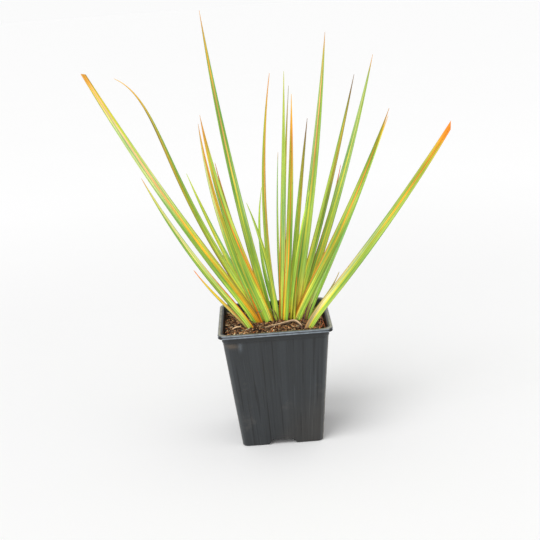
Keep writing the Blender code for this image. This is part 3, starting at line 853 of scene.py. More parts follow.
@effect(("Tone", "Patches"), tone=(1, 1, 1, 1), place=None, scale=60.0, depth=0.2)
def surface_mottle(wires, given):
    """A tone broken up by soft patches, lighter and darker."""
    patches = wires.noise(given["Place"], given["Scale"], 4.0, 0.6)
    swing = wires.times(wires.minus(patches, 0.5), given["Depth"])
    return wires.shade(given["Tone"], wires.plus(wires.times(swing, 2.0), 1.0)), patches


@effect(("Mask",), place=None, scale=200.0, share=0.1, size=0.3)
def fine_specks(wires, given):
    """Small round specks, such as dust or freckles, scattered over a share of the surface."""
    cells = wires.node("TexVoronoi", {"Vector": given["Place"], "Scale": given["Scale"]})
    size = wires.parts(cells.outputs["Color"])
    chosen = wires.math("LESS_THAN", size[0], given["Share"])
    reach = wires.times(wires.plus(wires.times(size[1], 0.7), 0.3), given["Size"])
    spot = wires.step(cells.outputs["Distance"], reach, wires.times(reach, 0.5))
    return (wires.times(spot, chosen),)


@effect(("Shade", "Height"), place=None)
def draw_lines(wires, given):
    """The upright lines that a mould leaves on drawn plastic: soft ones, and a few crisp ones."""
    fine, broad, crisp = (wires.noise(wires.scaled(given["Place"], (1, 1, along)), *form)
                          for along, *form in ((0.012, 900.0, 2.0, 0.6), (0.02, 170.0, 2.0, 0.5),
                                               (0.03, 420.0, 1.0, 0.5)))
    soft = wires.minus(wires.plus(wires.times(fine, 0.5), wires.times(broad, 0.5)), 0.5)
    dark = wires.times(wires.step(crisp, 0.6, 0.66), 0.6)
    light = wires.times(wires.step(crisp, 0.36, 0.3), 0.5)
    return wires.plus(wires.minus(wires.plus(wires.times(soft, 1.7), 1.0), dark), light), soft


@effect(("Streak", "Ridge"), across=0.0, length=0.0, seed=0.0, lines=7.0)
def parallel_veins(wires, given):
    """The parallel veins of a grass-like blade: long streaks, and a height for their fine ridges."""
    run = wires.node("CombineXYZ", {0: wires.times(given["Across"], given["Lines"]),
                                    1: wires.times(given["Length"], 14.0), 2: given["Seed"]}).outputs[0]
    streak = wires.noise(run, 0.9, 3.0, 0.6)
    turns = wires.times(given["Across"], wires.times(given["Lines"], 6.2))
    wave = wires.math("SINE", wires.plus(turns, wires.times(streak, 1.6)))
    return streak, wires.plus(wires.times(wave, 0.5), streak)


@effect(("Tone",), **dict.fromkeys(BLADE_TONES, (0.5, 0.5, 0.5, 1)), across=0.0, stripe_place=0.0,
        stripe_width=0.0, stripe_strength=0.0, left_margin=0.0, right_margin=0.0)
def blade_stripes(wires, given):
    """A blade's colour: two halves, a bright line at a place across, and thin lines at the margins, with
    painted shade along the margins and in thin folds beside the bright line.
    """
    across, width = given["Across"], given["Stripe Width"]
    colour = wires.mix(wires.step(across, -0.16, 0.16), given["Left Tone"], given["Right Tone"])
    away = wires.size(wires.minus(across, given["Stripe Place"]))
    line = wires.times(wires.step(away, width, wires.times(width, 0.3)), given["Stripe Strength"])
    colour = wires.mix(line, colour, given["Stripe Tone"])
    for side, label in ((-1, "Left Margin"), (1, "Right Margin")):
        for low, high, tone in ((0.55, 0.7, "Glow Tone"), (0.84, 0.95, "Margin Tone")):
            edge = wires.step(across, side * low, side * high)
            colour = wires.mix(wires.times(edge, given[label]), colour, given[tone])
    # Painted shade: darker in thin folds beside the bright line and along both margins
    crease = wires.step(wires.size(wires.minus(away, wires.times(width, 1.15))), 0.16, 0.04)
    crease = wires.times(wires.times(crease, given["Stripe Strength"]), 0.26)
    rim = wires.times(wires.step(wires.size(across), 0.72, 1.0), 0.34)
    dark = wires.math("MAXIMUM", crease, rim)
    return (wires.mix(dark, colour, (*linear(TONES["shade_green"]), 1), "MULTIPLY"),)


def mottled(wires, tone, place, scale, depth):
    """Return a tone broken up by the mottle."""
    return wires.group(surface_mottle(), tone=tone, place=place, scale=scale, depth=depth)["Tone"]


def specks(wires, place, scale, share, size):
    """Return the mask of the fine specks."""
    return wires.group(fine_specks(), place=place, scale=scale, share=share, size=size)["Mask"]


def new_material(name):
    """Return an empty node material and the wiring of its tree."""
    made = bpy.data.materials.new(name)
    made.use_nodes = True
    return made, Wiring(made.node_tree)


def finish(made, wires, colour, roughness, specular, relief=None):
    """Feed a material's shader its colour, roughness, specular level and relief, and return it.

    A relief is a height, how strong it is and how deep.
    """
    sockets = {"Base Color": colour, "Roughness": roughness, "Specular IOR Level": specular}
    if relief:
        bump = wires.node("Bump", dict(zip(("Height", "Strength", "Distance"), relief)))
        sockets["Normal"] = bump.outputs[0]
    for name, value in sockets.items():
        wires.feed(made.node_tree.nodes["Principled BSDF"].inputs[name], value)
    return made


# Materials
def blade_material(name, lines, freckles):
    """Leaf skin: striped halves, parallel veins, fine freckles and a satin sheen."""
    made, wires = new_material(name)
    across, _, length = wires.written("blade_place")
    form, margins = wires.written("stripe_form"), wires.written("margin_form")
    colour = wires.group(
        blade_stripes(), **{tone: wires.attribute(tone) for tone in BLADE_TONES}, across=across,
        stripe_place=form[0], stripe_width=form[1], stripe_strength=form[2], left_margin=margins[0],
        right_margin=margins[1])["Tone"]
    veins = wires.group(parallel_veins(), across=across, length=length, seed=margins[2], lines=lines)
    streak = veins["Streak"]
    swings = wires.colour([wires.step(streak, 0.36, 0.64, *swing) for swing in STREAK_SWINGS])
    colour = wires.mix(1.0, colour, swings, "MULTIPLY")
    place = wires.place()
    colour = mottled(wires, colour, place, 45.0, 0.16)
    spots = specks(wires, wires.scaled(place, (1, 1, 0.5)), 420.0, freckles, 0.32)
    colour = wires.tint(colour, spots, 0.45, linear(TONES["brown"]))
    return finish(made, wires, colour, wires.step(streak, 0.25, 0.75, 0.36, 0.52), 0.32,
                  (veins["Ridge"], 0.35, 0.12 * MM))


def pot_material(settings):
    """Moulded charcoal plastic: draw lines down the walls, a painted brownish reflection at the lower
    right, scuffs, dust, bead crests paler with rubbing and a painted highlight and glint, painted shade
    under the lip, under the band and in the lip's groove, and dust with a painted highlight on the rim
    and corners.
    """
    made, wires = new_material("pot_plastic")
    place = wires.attribute("draw_place", "Vector")
    wear, scuff, drawn = wires.written("pot_marks")
    dust_and_highlight, crest_wear_and_highlight, painted_shade = wires.written("rim_marks")
    side, _, height = wires.parts(place)
    # Painted reflection: a brownish reflected light, stronger towards the lower right and broken into
    # patches
    low_right = wires.minus(wires.times(side, 6.0), wires.times(height, 8.0))
    warm_reflection = wires.step(wires.plus(low_right, wires.noise(place, 21.0, 3.0, 0.5)), 0.1, 0.9)
    body = wires.mix(warm_reflection, (*settings.wall_tone, 1), (*settings.warm_reflection_tone, 1))
    colour = mottled(wires, body, place, 34.0, 0.26)
    lines = wires.group(draw_lines(), place=place)
    colour = wires.shade(colour, wires.plus(wires.times(wires.minus(lines["Shade"], 1.0), drawn), 1.0))
    smudge = wires.step(wires.noise(place, 38.0, 5.0, 0.7), 0.58, 0.76)
    # Patches of the paler bead crests, with their rubbing and painted highlight, and of the dust and
    # painted highlight on the rim's top and corners
    rubbed = wires.step(wires.noise(place, 240.0, 4.0, 0.65), 0.25, 0.7, 0.45, 0.95)
    dust = specks(wires, place, 150.0, 0.022, 0.14)
    # Tints: worn edges, smudges, the scuff, bead crests paler with rubbing and a painted highlight and
    # glint, painted shade, dust with a painted highlight on the rim's top and the corners, and dust
    # specks
    for mask, share, tone in (
            (wear, 0.6, settings.worn_tone), (smudge, 0.06, settings.dust_tone),
            (scuff, 0.85, settings.scuff_tone), (crest_wear_and_highlight, rubbed, settings.crest_wear_and_highlight_tone),
            (painted_shade, 0.95, settings.painted_shade_tone), (dust_and_highlight, rubbed, settings.rim_dust_and_highlight_tone),
            (dust, 0.6, settings.dust_tone)):
        colour = wires.tint(colour, mask, share, tone)
    rough = wires.plus(wires.step(wires.noise(place, 60.0, 4.0, 0.6), 0.3, 0.7, 0.3, 0.42),
                       wires.times(wires.plus(wear, dust_and_highlight), 0.12))
    return finish(made, wires, colour, rough, 0.5, (lines["Height"], 0.5, 0.6 * MM))


def compost_material(settings):
    """Peat: near-black gaps, brown crumbs and a few pale fibres in the bed between the loose ones, with
    painted shade darkening the bed where it lies deep under the mound.
    """
    made, wires = new_material("compost_bed")
    place = wires.place()
    dark = (*settings.dark_tone, 1)
    grain = wires.noise(place, 900.0, 4.0, 0.65)
    colour = wires.mix(wires.step(grain, 0.38, 0.66), dark, (*settings.brown_tone, 1))
    # Painted shade: the bed is darkened to its gap colour where it lies deep under the mound
    hollow = wires.attribute("hollow", "Fac")
    colour = wires.mix(hollow, mottled(wires, colour, place, 240.0, 0.5), dark)
    bits = specks(wires, place, 520.0, 0.12, 0.4)
    return finish(made, wires, wires.tint(colour, bits, 0.6, settings.fibre_tone), 0.95, 0.25,
                  (grain, 0.8, 0.9 * MM))


def litter_material(name, roughness, depth):
    """Loose plant litter: each bit has its own tone, broken up by grain along and across it."""
    made, wires = new_material(name)
    place = wires.place()
    bits = wires.group(surface_mottle(), tone=wires.attribute("bit_tone"), place=place, scale=700.0,
                       depth=depth)
    spots = specks(wires, place, 900.0, 0.2, 0.4)
    return finish(made, wires, wires.tint(bits["Tone"], spots, 0.4, linear(TONES["dark_brown"])),
                  roughness, 0.3, (bits["Patches"], 0.5, 0.3 * MM))


def dry_material(name):
    """Dried leaf: papery tan and purplish brown, in streaks along it, with dark freckles and painted
    shade along one edge.
    """
    made, wires = new_material(name)
    dark = linear(TONES["dark_brown"])
    across, share, length = wires.written("dry_place")
    veins = wires.group(parallel_veins(), across=across, length=length, seed=share, lines=2.4)
    colour = wires.mix(wires.step(veins["Streak"], 0.3, 0.5), (*linear(DRY_STREAK), 1),
                       wires.attribute("bit_tone"))
    # Painted shade: the strip is darkened along one edge
    colour = wires.tint(colour, wires.step(across, 0.1, 0.4), 0.85, dark)
    place = wires.place()
    spots = specks(wires, place, 800.0, 0.14, 0.35)
    return finish(made, wires, wires.tint(mottled(wires, colour, place, 300.0, 0.3), spots, 0.6, dark),
                  0.7, 0.5, (veins["Ridge"], 0.6, 0.3 * MM))


def floor_material(tone):
    """The pale floor's soft matte finish, a little brighter away from the pot."""
    made, wires = new_material("floor_paper")
    place = wires.place()
    away = wires.node("VectorMath", {0: place}, operation="LENGTH").outputs["Value"]
    shader = made.node_tree.nodes["Principled BSDF"]
    wires.feed(shader.inputs["Emission Color"], wires.colour([wires.step(away, *FLOOR_GLOW_REACH)] * 3))
    shader.inputs["Emission Strength"].default_value = FLOOR_GLOW
    return finish(made, wires, mottled(wires, (*tone, 1), place, 3.0, 0.01), 0.9, 0.1)


# The pot
class PotSettings(bpy.types.PropertyGroup):
    """Sizes and colours of the pot."""

    height: length_property("Height", "Height of the pot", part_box("pot")[1].z, 0.05, 0.3)
    rim_width: length_property("Rim width", "Width of the pot over its rolled rim",
                               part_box("pot")[1].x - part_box("pot")[0].x, 0.05, 0.3)
    foot_width: length_property("Foot width", "Width of the pot at its foot", 79 * MM, 0.03, 0.3)
    wall_tone: colour_property("Wall colour", "Colour of the plastic", "#25292c")
    # Painted reflection: the brownish reflected light towards the lower right of the walls
    warm_reflection_tone: colour_property("Warm colour", "Colour of the plastic in its browner patches", "#312f2c")
    # Painted highlight with rubbing: the pale tint of the bead crests and of the front crease's glint
    crest_wear_and_highlight_tone: colour_property("Bead colour", "Colour of the rubbed beads of the lip", "#8d98a2")
    # Dust and a painted highlight on the rim's top and on the corners
    rim_dust_and_highlight_tone: colour_property("Rim colour", "Colour of the dusty top of the rim", "#a6a497")
    # Painted shade: the near-black that darkens the band under the lip, the crease under the band and
    # the lip's groove
    painted_shade_tone: colour_property("Grime colour", "Colour of the dirt in the creases", "#0e0d0c")
    scuff_tone: colour_property("Scuff colour", "Colour of the smear in the dent", "#5f5346")
    worn_tone: colour_property("Worn colour", "Colour of the plastic's rubbed edges", "#5c6164")
    dust_tone: colour_property("Dust colour", "Colour of the dust and compost smears", "#a79c90")


def square_ring(half_width, radius, height):
    """Return the points of a square with round corners, anticlockwise from above."""
    ring = []
    straight = half_width - radius
    corners = ((1, 1, -1, 0), (-1, 1, 0, -1), (-1, -1, 1, 0), (1, -1, 0, 1))
    for corner, (sign_x, sign_y, run_x, run_y) in enumerate(corners):
        for step in range(CORNER_STEPS + 1):
            angle = math.radians(90 * corner + 90 * step / CORNER_STEPS)
            last = Vector((sign_x * straight + radius * math.cos(angle),
                           sign_y * straight + radius * math.sin(angle), height))
            ring.append(last)
        for step in range(1, SIDE_STEPS):
            share = 2 * straight * step / SIDE_STEPS
            ring.append(Vector((last.x + run_x * share, last.y + run_y * share, height)))
    return ring


def wall_half_width(settings, height):
    """Return the outside half-width of the pot's tapered wall at a height."""
    return blend(settings.foot_width, MOUTH_WIDTH, height / settings.height) / 2


def corner_radius(settings, height):
    """Return the radius of the pot's round corners at a height."""
    return FOOT_RADIUS + (RIM_RADIUS - FOOT_RADIUS) * height / settings.height


def lip_and_band(settings):
    """Return the heights at which the pot's lip and the band under it start."""
    lip_foot = settings.height - LIP_HEIGHT
    return lip_foot, lip_foot - BAND_HEIGHT


def arc(centre, radius, start, end):
    """Return the points of an arc in a profile of half-widths and heights, both ends taken in."""
    turns = [math.radians(blend(start, end, step / ROUND_STEPS)) for step in range(ROUND_STEPS + 1)]
    return [(centre[0] + radius * math.cos(turn), centre[1] + radius * math.sin(turn))
            for turn in turns]


def eased(half_width, height, run):
    """Return a short run of an outline, from an edge and the offsets from it in millimetres."""
    return [(half_width + out * MM, height + up * MM) for out, up in run]


def pot_outline(settings):
    """Return the pot's outside from foot to rim, as half-widths and heights."""
    top = settings.height
    lip_foot, band_foot = lip_and_band(settings)
    band = wall_half_width(settings, band_foot) + BAND_STEP
    rim = settings.rim_width / 2
    hollow_top = top - LIP_WALL
    outline = arc((wall_half_width(settings, FOOT_ROUND) - FOOT_ROUND, FOOT_ROUND), FOOT_ROUND, -90, 0)
    for step in range(1, WALL_STEPS + 1):
        height = FOOT_ROUND + (band_foot - WALL_END - FOOT_ROUND) * step / WALL_STEPS
        outline.append((wall_half_width(settings, height), height))
    outline += eased(band, band_foot, BAND_FOOT_EASE) + eased(band, lip_foot, BAND_TOP_EASE)
    outline += [(band + LIP_DRAFT, hollow_top)] + eased(rim - LIP_WALL, hollow_top, HOLLOW_EASE)
    outline += eased(rim - LIP_WALL, lip_foot, LIP_FOOT_EASE)
    outline += [(rim - inset * MM, lip_foot + rise * MM) for inset, rise in LIP_FACE]
    return outline + arc((rim - LIP_ROUND, top - LIP_ROUND), LIP_ROUND, 0, 90)


def cavity_outline(settings):
    """Return the pot's inside from floor to above the rim, as half-widths and heights."""
    top = settings.height
    floor_edge = WALL + FLOOR_ROUND
    step_height = top - MOUTH_STEP_DEPTH
    step_half = wall_half_width(settings, top) + MOUTH_STEP_WIDTH
    inside = [(wall_half_width(settings, WALL) - WALL - FLOOR_ROUND, WALL)]
    for share in (0, *CAVITY_STATIONS, 1):
        height = floor_edge + (step_height - floor_edge) * share
        inside.append((wall_half_width(settings, height) - WALL, height))
    inside += eased(step_half, step_height, MOUTH_STEP_EASE) + eased(step_half, top, MOUTH_TOP_EASE)
    return inside + [(inside[-1][0], top + CUTTER_REACH)]


def square_solid(settings, name, outline):
    """Return a solid whose level sections are round-cornered squares along an outline."""
    return solid_from_rings(name, [
        square_ring(half_width, min(corner_radius(settings, height), half_width), height)
        for half_width, height in outline])


def channel_bars(name, grow):
    """Return one bar for each of the foot's channels, grown on the top, the sides and the inner end."""
    low = CHANNEL_WIDTH / 2 + grow
    high = CHANNEL_TOP_WIDTH / 2 + grow
    top = CHANNEL_HEIGHT + grow
    section = ((-low, -CUTTER_REACH), (low, -CUTTER_REACH), (low, 0), (high, top), (-high, top),
               (-low, 0))
    return [solid_from_rings(name, [
        [(way_x * end - way_y * across, way_y * end + way_x * across, height)
         for across, height in section] for end in (CHANNEL_INNER_END - grow, CHANNEL_OUTER_END)])
        for way_x, way_y in CHANNEL_WAYS]


def drain_holes():
    """Return the upright cutters for the drain holes, one in each channel."""
    heights = (-CUTTER_REACH, CHANNEL_HEIGHT + WALL + CUTTER_REACH)
    return [solid_from_rings("drain_hole", [
        ellipse((x * DRAIN_OFFSET, y * DRAIN_OFFSET), DRAIN_RADIUS, DRAIN_RADIUS, height, DRAIN_SIDES)
        for height in heights]) for x, y in CHANNEL_WAYS]


def spot_share(spot, x, z):
    """Return how far a point of the front face lies inside a soft spot, from 0 to 1."""
    place, spread = spot
    slanted = z + (x - place[0]) * DENT_SLOPE
    return hump(x, place[0], spread[0]) * hump(slanted, place[1], spread[1])


def warp_walls(settings, mesh):
    """Press the crease into the front wall and bow the thin walls a little, as blown pots have them."""
    band_foot = lip_and_band(settings)[1]
    for corner in mesh.vertices:
        x, y, z = corner.co
        if z < BOW_FOOT or z > band_foot:
            continue
        half = wall_half_width(settings, z)
        bow = math.sin(math.pi * (z - BOW_FOOT) / (band_foot - BOW_FOOT)) * BOW
        if abs(y) > half - FACE_DEPTH and abs(x) < half - RIM_RADIUS:
            corner.co.y -= math.copysign(bow * math.cos(math.pi * x / (2 * half)) ** 2, y)
            if y < 0:
                corner.co.y += DENT_DEPTH * spot_share(DENT, x, z)
        elif abs(x) > half - FACE_DEPTH and abs(y) < half - RIM_RADIUS:
            corner.co.x -= math.copysign(bow * math.cos(math.pi * y / (2 * half)) ** 2, x)


def wall_marks(settings, x, y, z):
    """Return how worn, scuffed and drawn a point of the pot is."""
    band_foot = lip_and_band(settings)[1]
    if z >= band_foot:
        strength, scuff, drawn = BAND_WEAR, 0, BAND_DRAWN
    else:
        strength, scuff, drawn = WALL_WEAR, spot_share(SCUFF, x, z) if y < 0 else 0, 1
    straight = wall_half_width(settings, min(z, band_foot)) - corner_radius(settings, z)
    off = (min(abs(x), abs(y)) - straight) / RIM_RADIUS
    return ease(*WEAR_REACH, off) * strength, scuff, drawn


def corner_dust_and_highlight(settings, x, y, z):
    """Return how far a point of the pot's wall has dust and a painted highlight: its corners have them,
    in patches, at the right most.
    """
    radius = corner_radius(settings, z)
    straight = wall_half_width(settings, z) - radius
    turned, deep = ((abs(part) - straight) / radius for part in (x, y))
    strength, start, full = CORNER_DUST_AND_HIGHLIGHT[x > 0]
    patches = DUST_AND_HIGHLIGHT_LEVEL + noise.noise(Vector((x, y, DUST_AND_HIGHLIGHT_STRETCH * z)) / DUST_AND_HIGHLIGHT_GRAIN)
    return strength * ease(start, full, turned) * ease(*DUST_AND_HIGHLIGHT_REACH, deep) * patches


def lip_marks(settings, x, y, z):
    """Return three marks of a point of the pot's band and lip: dust with a painted highlight on the
    rim's top, bead crests paler with rubbing and a painted highlight, and painted shade under the lip,
    under the band and in the lip's groove.
    """
    lip_foot, band_foot = lip_and_band(settings)
    half = wall_half_width(settings, min(z, band_foot))
    rim = settings.rim_width / 2
    out = max(abs(x), abs(y))
    over_lip = z - lip_foot
    # The rim's top has dust and a painted highlight, most towards its left and right
    dust_and_highlight = ease(*(settings.height + depth for depth in DUST_AND_HIGHLIGHT_DEPTH), z)
    dust_and_highlight *= blend(RIM_DUST_AND_HIGHLIGHT, 1, ease(*RIM_DUST_AND_HIGHLIGHT_ENDS, abs(x) / half))
    crest_wear_and_highlight, painted_shade = 0, 0
    # The bead crests are tinted paler with rubbing and a painted highlight
    if out > rim - LIP_ROUND and over_lip > 0:
        crest_wear_and_highlight = sum(hump(over_lip, *bead) for bead in BEADS)
    # Painted shade: the band's top under the lip and the crease under the band
    if out < rim - LIP_WALL and z < settings.height - LIP_WALL:
        painted_shade = ease(*(lip_foot + rise for rise in LIP_SHADE), z)
        painted_shade += CREASE_PAINTED_SHADE * hump(z, band_foot + BAND_CREASE[0], BAND_CREASE[1])
    # Painted shade in the lip's groove
    elif out > rim - LIP_ROUND:
        painted_shade = GROOVE_PAINTED_SHADE * hump(over_lip, *GROOVE)
    return dust_and_highlight, min(crest_wear_and_highlight, 1), min(painted_shade, 1)


def mark_pot(settings, mesh):
    """Write where the draw lines run, how worn and marked each point of the pot is, and where its
    painted highlights and painted shade lie.
    """
    band_foot = lip_and_band(settings)[1]
    middle = wall_half_width(settings, settings.height / 2)
    places, walls, rims = [], [], []
    for corner in mesh.vertices:
        x, y, z = corner.co
        spread = middle / wall_half_width(settings, min(z, band_foot))
        places += [x * spread, y * spread, z]
        walls += wall_marks(settings, x, y, z)
        dust_and_highlight, crest_wear_and_highlight, painted_shade = lip_marks(settings, x, y, z)
        # Below the band, the corners get dust and a painted highlight
        if z < band_foot:
            dust_and_highlight = corner_dust_and_highlight(settings, x, y, z)
            # At the front, the crease's painted glint, a painted highlight, joins the bead crests' mark
            if y < 0:
                crest_wear_and_highlight = min(crest_wear_and_highlight + GLINT_STRENGTH * spot_share(GLINT, x, z), 1)
        rims += [dust_and_highlight, crest_wear_and_highlight, painted_shade]
    for name, rows in (("draw_place", places), ("pot_marks", walls), ("rim_marks", rims)):
        write_points(mesh, name, VECTOR, rows)


class LIBERTIA_OT_make_pot(bpy.types.Operator):
    """Make the square nursery pot: thin drawn walls, hollow rolled lip, raised channels, drain holes"""

    bl_idname = "libertia.make_pot"
    bl_label = "Make pot"

    def execute(self, context):
        settings = context.scene.libertia_pot
        body = square_solid(settings, "pot_shell", pot_outline(settings))
        cavity = square_solid(settings, "cavity", cavity_outline(settings))
        cut_away(cavity, channel_bars("raised_floor", WALL))
        cut_away(body, [cavity])
        cut_away(body, channel_bars("channel", 0))
        cut_away(body, drain_holes())
        mesh = body.data
        warp_walls(settings, mesh)
        for name in [layer.name for layer in mesh.attributes if not layer.is_required]:
            if name not in ("sharp_face", "sharp_edge"):
                mesh.attributes.remove(mesh.attributes[name])
        mark_pot(settings, mesh)
        bpy.data.objects.remove(body)
        piece = place_piece("pot_shell", mesh, pot_material(settings), 32)
        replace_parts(piece, "pot")
        return {"FINISHED"}


# Compost
class CompostSettings(bpy.types.PropertyGroup):
    """Colours of the compost and the amount of loose litter on it."""

    fibres: count_property("Fibres", "Number of loose fibres on the compost", 1500, 3000)
    crumbs: count_property("Crumbs", "Number of loose crumbs on the compost", 2600, 6000)
    chips: count_property("Chips", "Number of bark chips and husks on the compost", 150, 400)
    dark_tone: colour_property("Gap colour", "Colour in the gaps of the compost", "#17110d")
    brown_tone: colour_property("Peat colour", "Colour of the compost's crumbs", "#6e4a2c")
    fibre_tone: colour_property("Fibre colour", "Colour of the compost's pale bits", "#c4935f")


def mound_height(x, y):
    """Return the height of the compost's low mound, without its lumps: the leaves leave it there."""
    away = (x - MOUND_CENTRE[0]) ** 2 + (y - MOUND_CENTRE[1]) ** 2
    return SOIL_EDGE_LEVEL + MOUND_HEIGHT * math.exp(-away / (2 * MOUND_SPREAD ** 2))


def over_mound(x, y, rise):
    """Return a point over the mound. All three numbers are in millimetres."""
    return Vector((x * MM, y * MM, mound_height(x * MM, y * MM) + rise * MM))


def bed_height(x, y):
    """Return the height of the compost's surface, with its lumps and its gaps."""
    place = Vector((x, y, 0)) / MM
    relief = sum(height * noise.noise(place / size + Vector(shift)) for height, size, shift in LUMPS)
    gaps = max(0, noise.noise(place / GAP_SIZE + Vector(GAP_SHIFT)) - GAP_START)
    return mound_height(x, y) + (relief - GAP_DEPTH * gaps) * MM


def round_corner(x, y, half_width, radius):
    """Move a point of a square to its place in the same square with round corners."""
    straight = half_width - radius
    over_x = abs(x) - straight
    over_y = abs(y) - straight
    if over_x <= 0 or over_y <= 0:
        return x, y
    squeeze = max(over_x, over_y) / math.hypot(over_x, over_y)
    return (math.copysign(straight + over_x * squeeze, x),
            math.copysign(straight + over_y * squeeze, y))


def soil_half_width(settings, height):
    """Return the half-width of the pot's inside at a height, less the gap to the compost."""
    return wall_half_width(settings, height) - WALL - GAP


def compost_mesh(settings):
    """Return the compost's fill: a fine lumpy top, tapered sides and a flat floor."""
    half = soil_half_width(settings, SOIL_EDGE_LEVEL)
    shape = bmesh.new()
    steps = range(SOIL_CELLS)
    top = {}
    for i in range(SOIL_CELLS + 1):
        for j in range(SOIL_CELLS + 1):
            x, y = round_corner(half * (2 * i / SOIL_CELLS - 1), half * (2 * j / SOIL_CELLS - 1), half,
                                SOIL_CORNER_RADIUS)
            top[i, j] = shape.verts.new((x, y, bed_height(x, y)))
    for i in steps:
        for j in steps:
            shape.faces.new((top[i, j], top[i + 1, j], top[i + 1, j + 1], top[i, j + 1]))
    border = [top[i, 0] for i in steps] + [top[SOIL_CELLS, j] for j in steps]
    border += [top[SOIL_CELLS - i, SOIL_CELLS] for i in steps] + [top[0, SOIL_CELLS - j] for j in steps]
    low_height = WALL + GAP
    shrink = (soil_half_width(settings, low_height) - SOIL_FOOT_INSET) / half
    low = [shape.verts.new((v.co.x * shrink, v.co.y * shrink, low_height)) for v in border]
    for i, corner in enumerate(border):
        j = (i + 1) % len(border)
        shape.faces.new((low[i], low[j], border[j], corner))
    shape.faces.new(reversed(low))
    bmesh.ops.recalc_face_normals(shape, faces=shape.faces)
    return mesh_from("compost_bed", shape)


class LIBERTIA_OT_fill_compost(bpy.types.Operator):
    """Fill the pot with compost: a lumpy mounded bed with dark gaps between its crumbs"""

    bl_idname = "libertia.fill_compost"
    bl_label = "Fill compost"

    def execute(self, context):
        body = put("compost_bed", compost_mesh(context.scene.libertia_pot))
        cut_away(body, channel_bars("soil_channel", WALL + GAP))
        mesh = body.data
        # How deep each point lies under the mound, for the painted shade in the hollows
        write_points(mesh, "hollow", "FLOAT", [
            ease(*HOLLOW_SHADE_DEPTHS, corner.co.z - mound_height(corner.co.x, corner.co.y))
            for corner in mesh.vertices])
        bpy.data.objects.remove(body)
        surface = compost_material(context.scene.libertia_compost)
        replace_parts(place_piece("compost_bed", mesh, surface, 60), "soil")
        return {"FINISHED"}


def pick_tone(draw, tones):
    """Return one of some weighted tones, a little lighter or darker."""
    text = draw.choices([tone for tone, _ in tones], [weight for _, weight in tones])[0]
    swing = draw.uniform(*TONE_SWING)
    return tuple(min(1, part * swing) for part in linear(text))


def shaded(tone, x, y):
    """Return a bit's tone, lighter or darker with the patch of noise that it lies in."""
    place = Vector((x, y, 0)) / MM
    light = ease(*CLUMP_LIMITS, noise.noise(place / CLUMP_SIZE + Vector(CLUMP_SHIFT)))
    return tuple(part * (CLUMP_SHADE + CLUMP_SWING * light) for part in tone)


def narrowed(share, ends, inset, power=1):
    """Return a bit's width at a share of its length: full in the middle and narrow at its ends."""
    return ends + (1 - ends) * math.sin(math.pi * (inset + (1 - 2 * inset) * share)) ** power


def tube(path, radii, sides):
    """Return the points and faces of a closed, somewhat flattened tube along a path."""
    rings = []
    for i, point in enumerate(path):
        along = (path[min(i + 1, len(path) - 1)] - path[max(i - 1, 0)]).normalized()
        side = along.cross(Vector((0.13, 0.05, 1))).normalized()
        up = side.cross(along)
        turns = [math.tau * k / sides for k in range(sides)]
        rings.append([point + side * (radii[i] * math.cos(turn))
                      + up * (radii[i] * FIBRE_FLATNESS * math.sin(turn)) for turn in turns])
    return skin(rings)


def inside_bed(draw, half):
    """Return a random place on the bed."""
    return draw.uniform(-half, half), draw.uniform(-half, half)


def keep_inside(x, y, half):
    """Return a place, moved inside the pot's round-cornered mouth."""
    x, y = min(max(x, -half), half), min(max(y, -half), half)
    return round_corner(x, y, half, SOIL_CORNER_RADIUS)


def scatter_fibres(heap, draw, count, half):
    """Lay curved fibres and rootlets over the bed."""
    for _ in range(count):
        x, y = inside_bed(draw, half)
        heading = draw.uniform(0, math.tau)
        curl = draw.gauss(0, FIBRE_CURL)
        length = min(LONGEST_FIBRE, SHORTEST_FIBRE + draw.expovariate(FIBRE_RARITY)) * MM
        thick = draw.choice(FIBRE_RADII) * MM
        lift = draw.uniform(*FIBRE_LIFT) * MM
        raised = draw.random() < RAISED_FIBRES
        tone = shaded(pick_tone(draw, LITTER_TONES), x, y)
        path, radii = [], []
        for i in range(FIBRE_SEGMENTS + 1):
            share = i / FIBRE_SEGMENTS
            here = keep_inside(x, y, half)
            rise = draw.uniform(*FIBRE_UNEVENNESS) * MM
            if raised:
                rise += share * length * RAISED_SLOPE
            ground = max(bed_height(*here), mound_height(*here) - FIBRE_REST * MM)
            path.append(Vector((*here, ground + lift + rise)))
            radii.append(thick * narrowed(share, *FIBRE_ENDS))
            x += math.cos(heading) * length / FIBRE_SEGMENTS
            y += math.sin(heading) * length / FIBRE_SEGMENTS
            heading += curl / FIBRE_SEGMENTS
        heap.add(tube(path, radii, 4), bit_tone=tone)


def crumb(draw, centre, size):
    """Return the points and faces of one rough crumb: an icosahedron with its corners moved."""
    golden = (1 + math.sqrt(5)) / 2
    corners = [(-1, golden, 0), (1, golden, 0), (-1, -golden, 0), (1, -golden, 0),
               (0, -1, golden), (0, 1, golden), (0, -1, -golden), (0, 1, -golden),
               (golden, 0, -1), (golden, 0, 1), (-golden, 0, -1), (-golden, 0, 1)]
    faces = ((0, 11, 5), (0, 5, 1), (0, 1, 7), (0, 7, 10), (0, 10, 11), (1, 5, 9), (5, 11, 4),
             (11, 10, 2), (10, 7, 6), (7, 1, 8), (3, 9, 4), (3, 4, 2), (3, 2, 6), (3, 6, 8), (3, 8, 9),
             (4, 9, 5), (2, 4, 11), (6, 2, 10), (8, 6, 7), (9, 8, 1))
    angle = draw.uniform(0, math.tau)
    axis = Vector((draw.uniform(-1, 1), draw.uniform(-1, 1), draw.uniform(0.2, 1))).normalized()
    turn = Matrix.Rotation(angle, 3, axis)
    stretch = Vector([draw.uniform(*limits) for limits in CRUMB_STRETCH])
    points = []
    for corner in corners:
        point = Vector(corner).normalized() * draw.uniform(*CRUMB_ROUGHNESS)
        points.append(centre + turn @ (point * stretch) * size)
    return points, faces


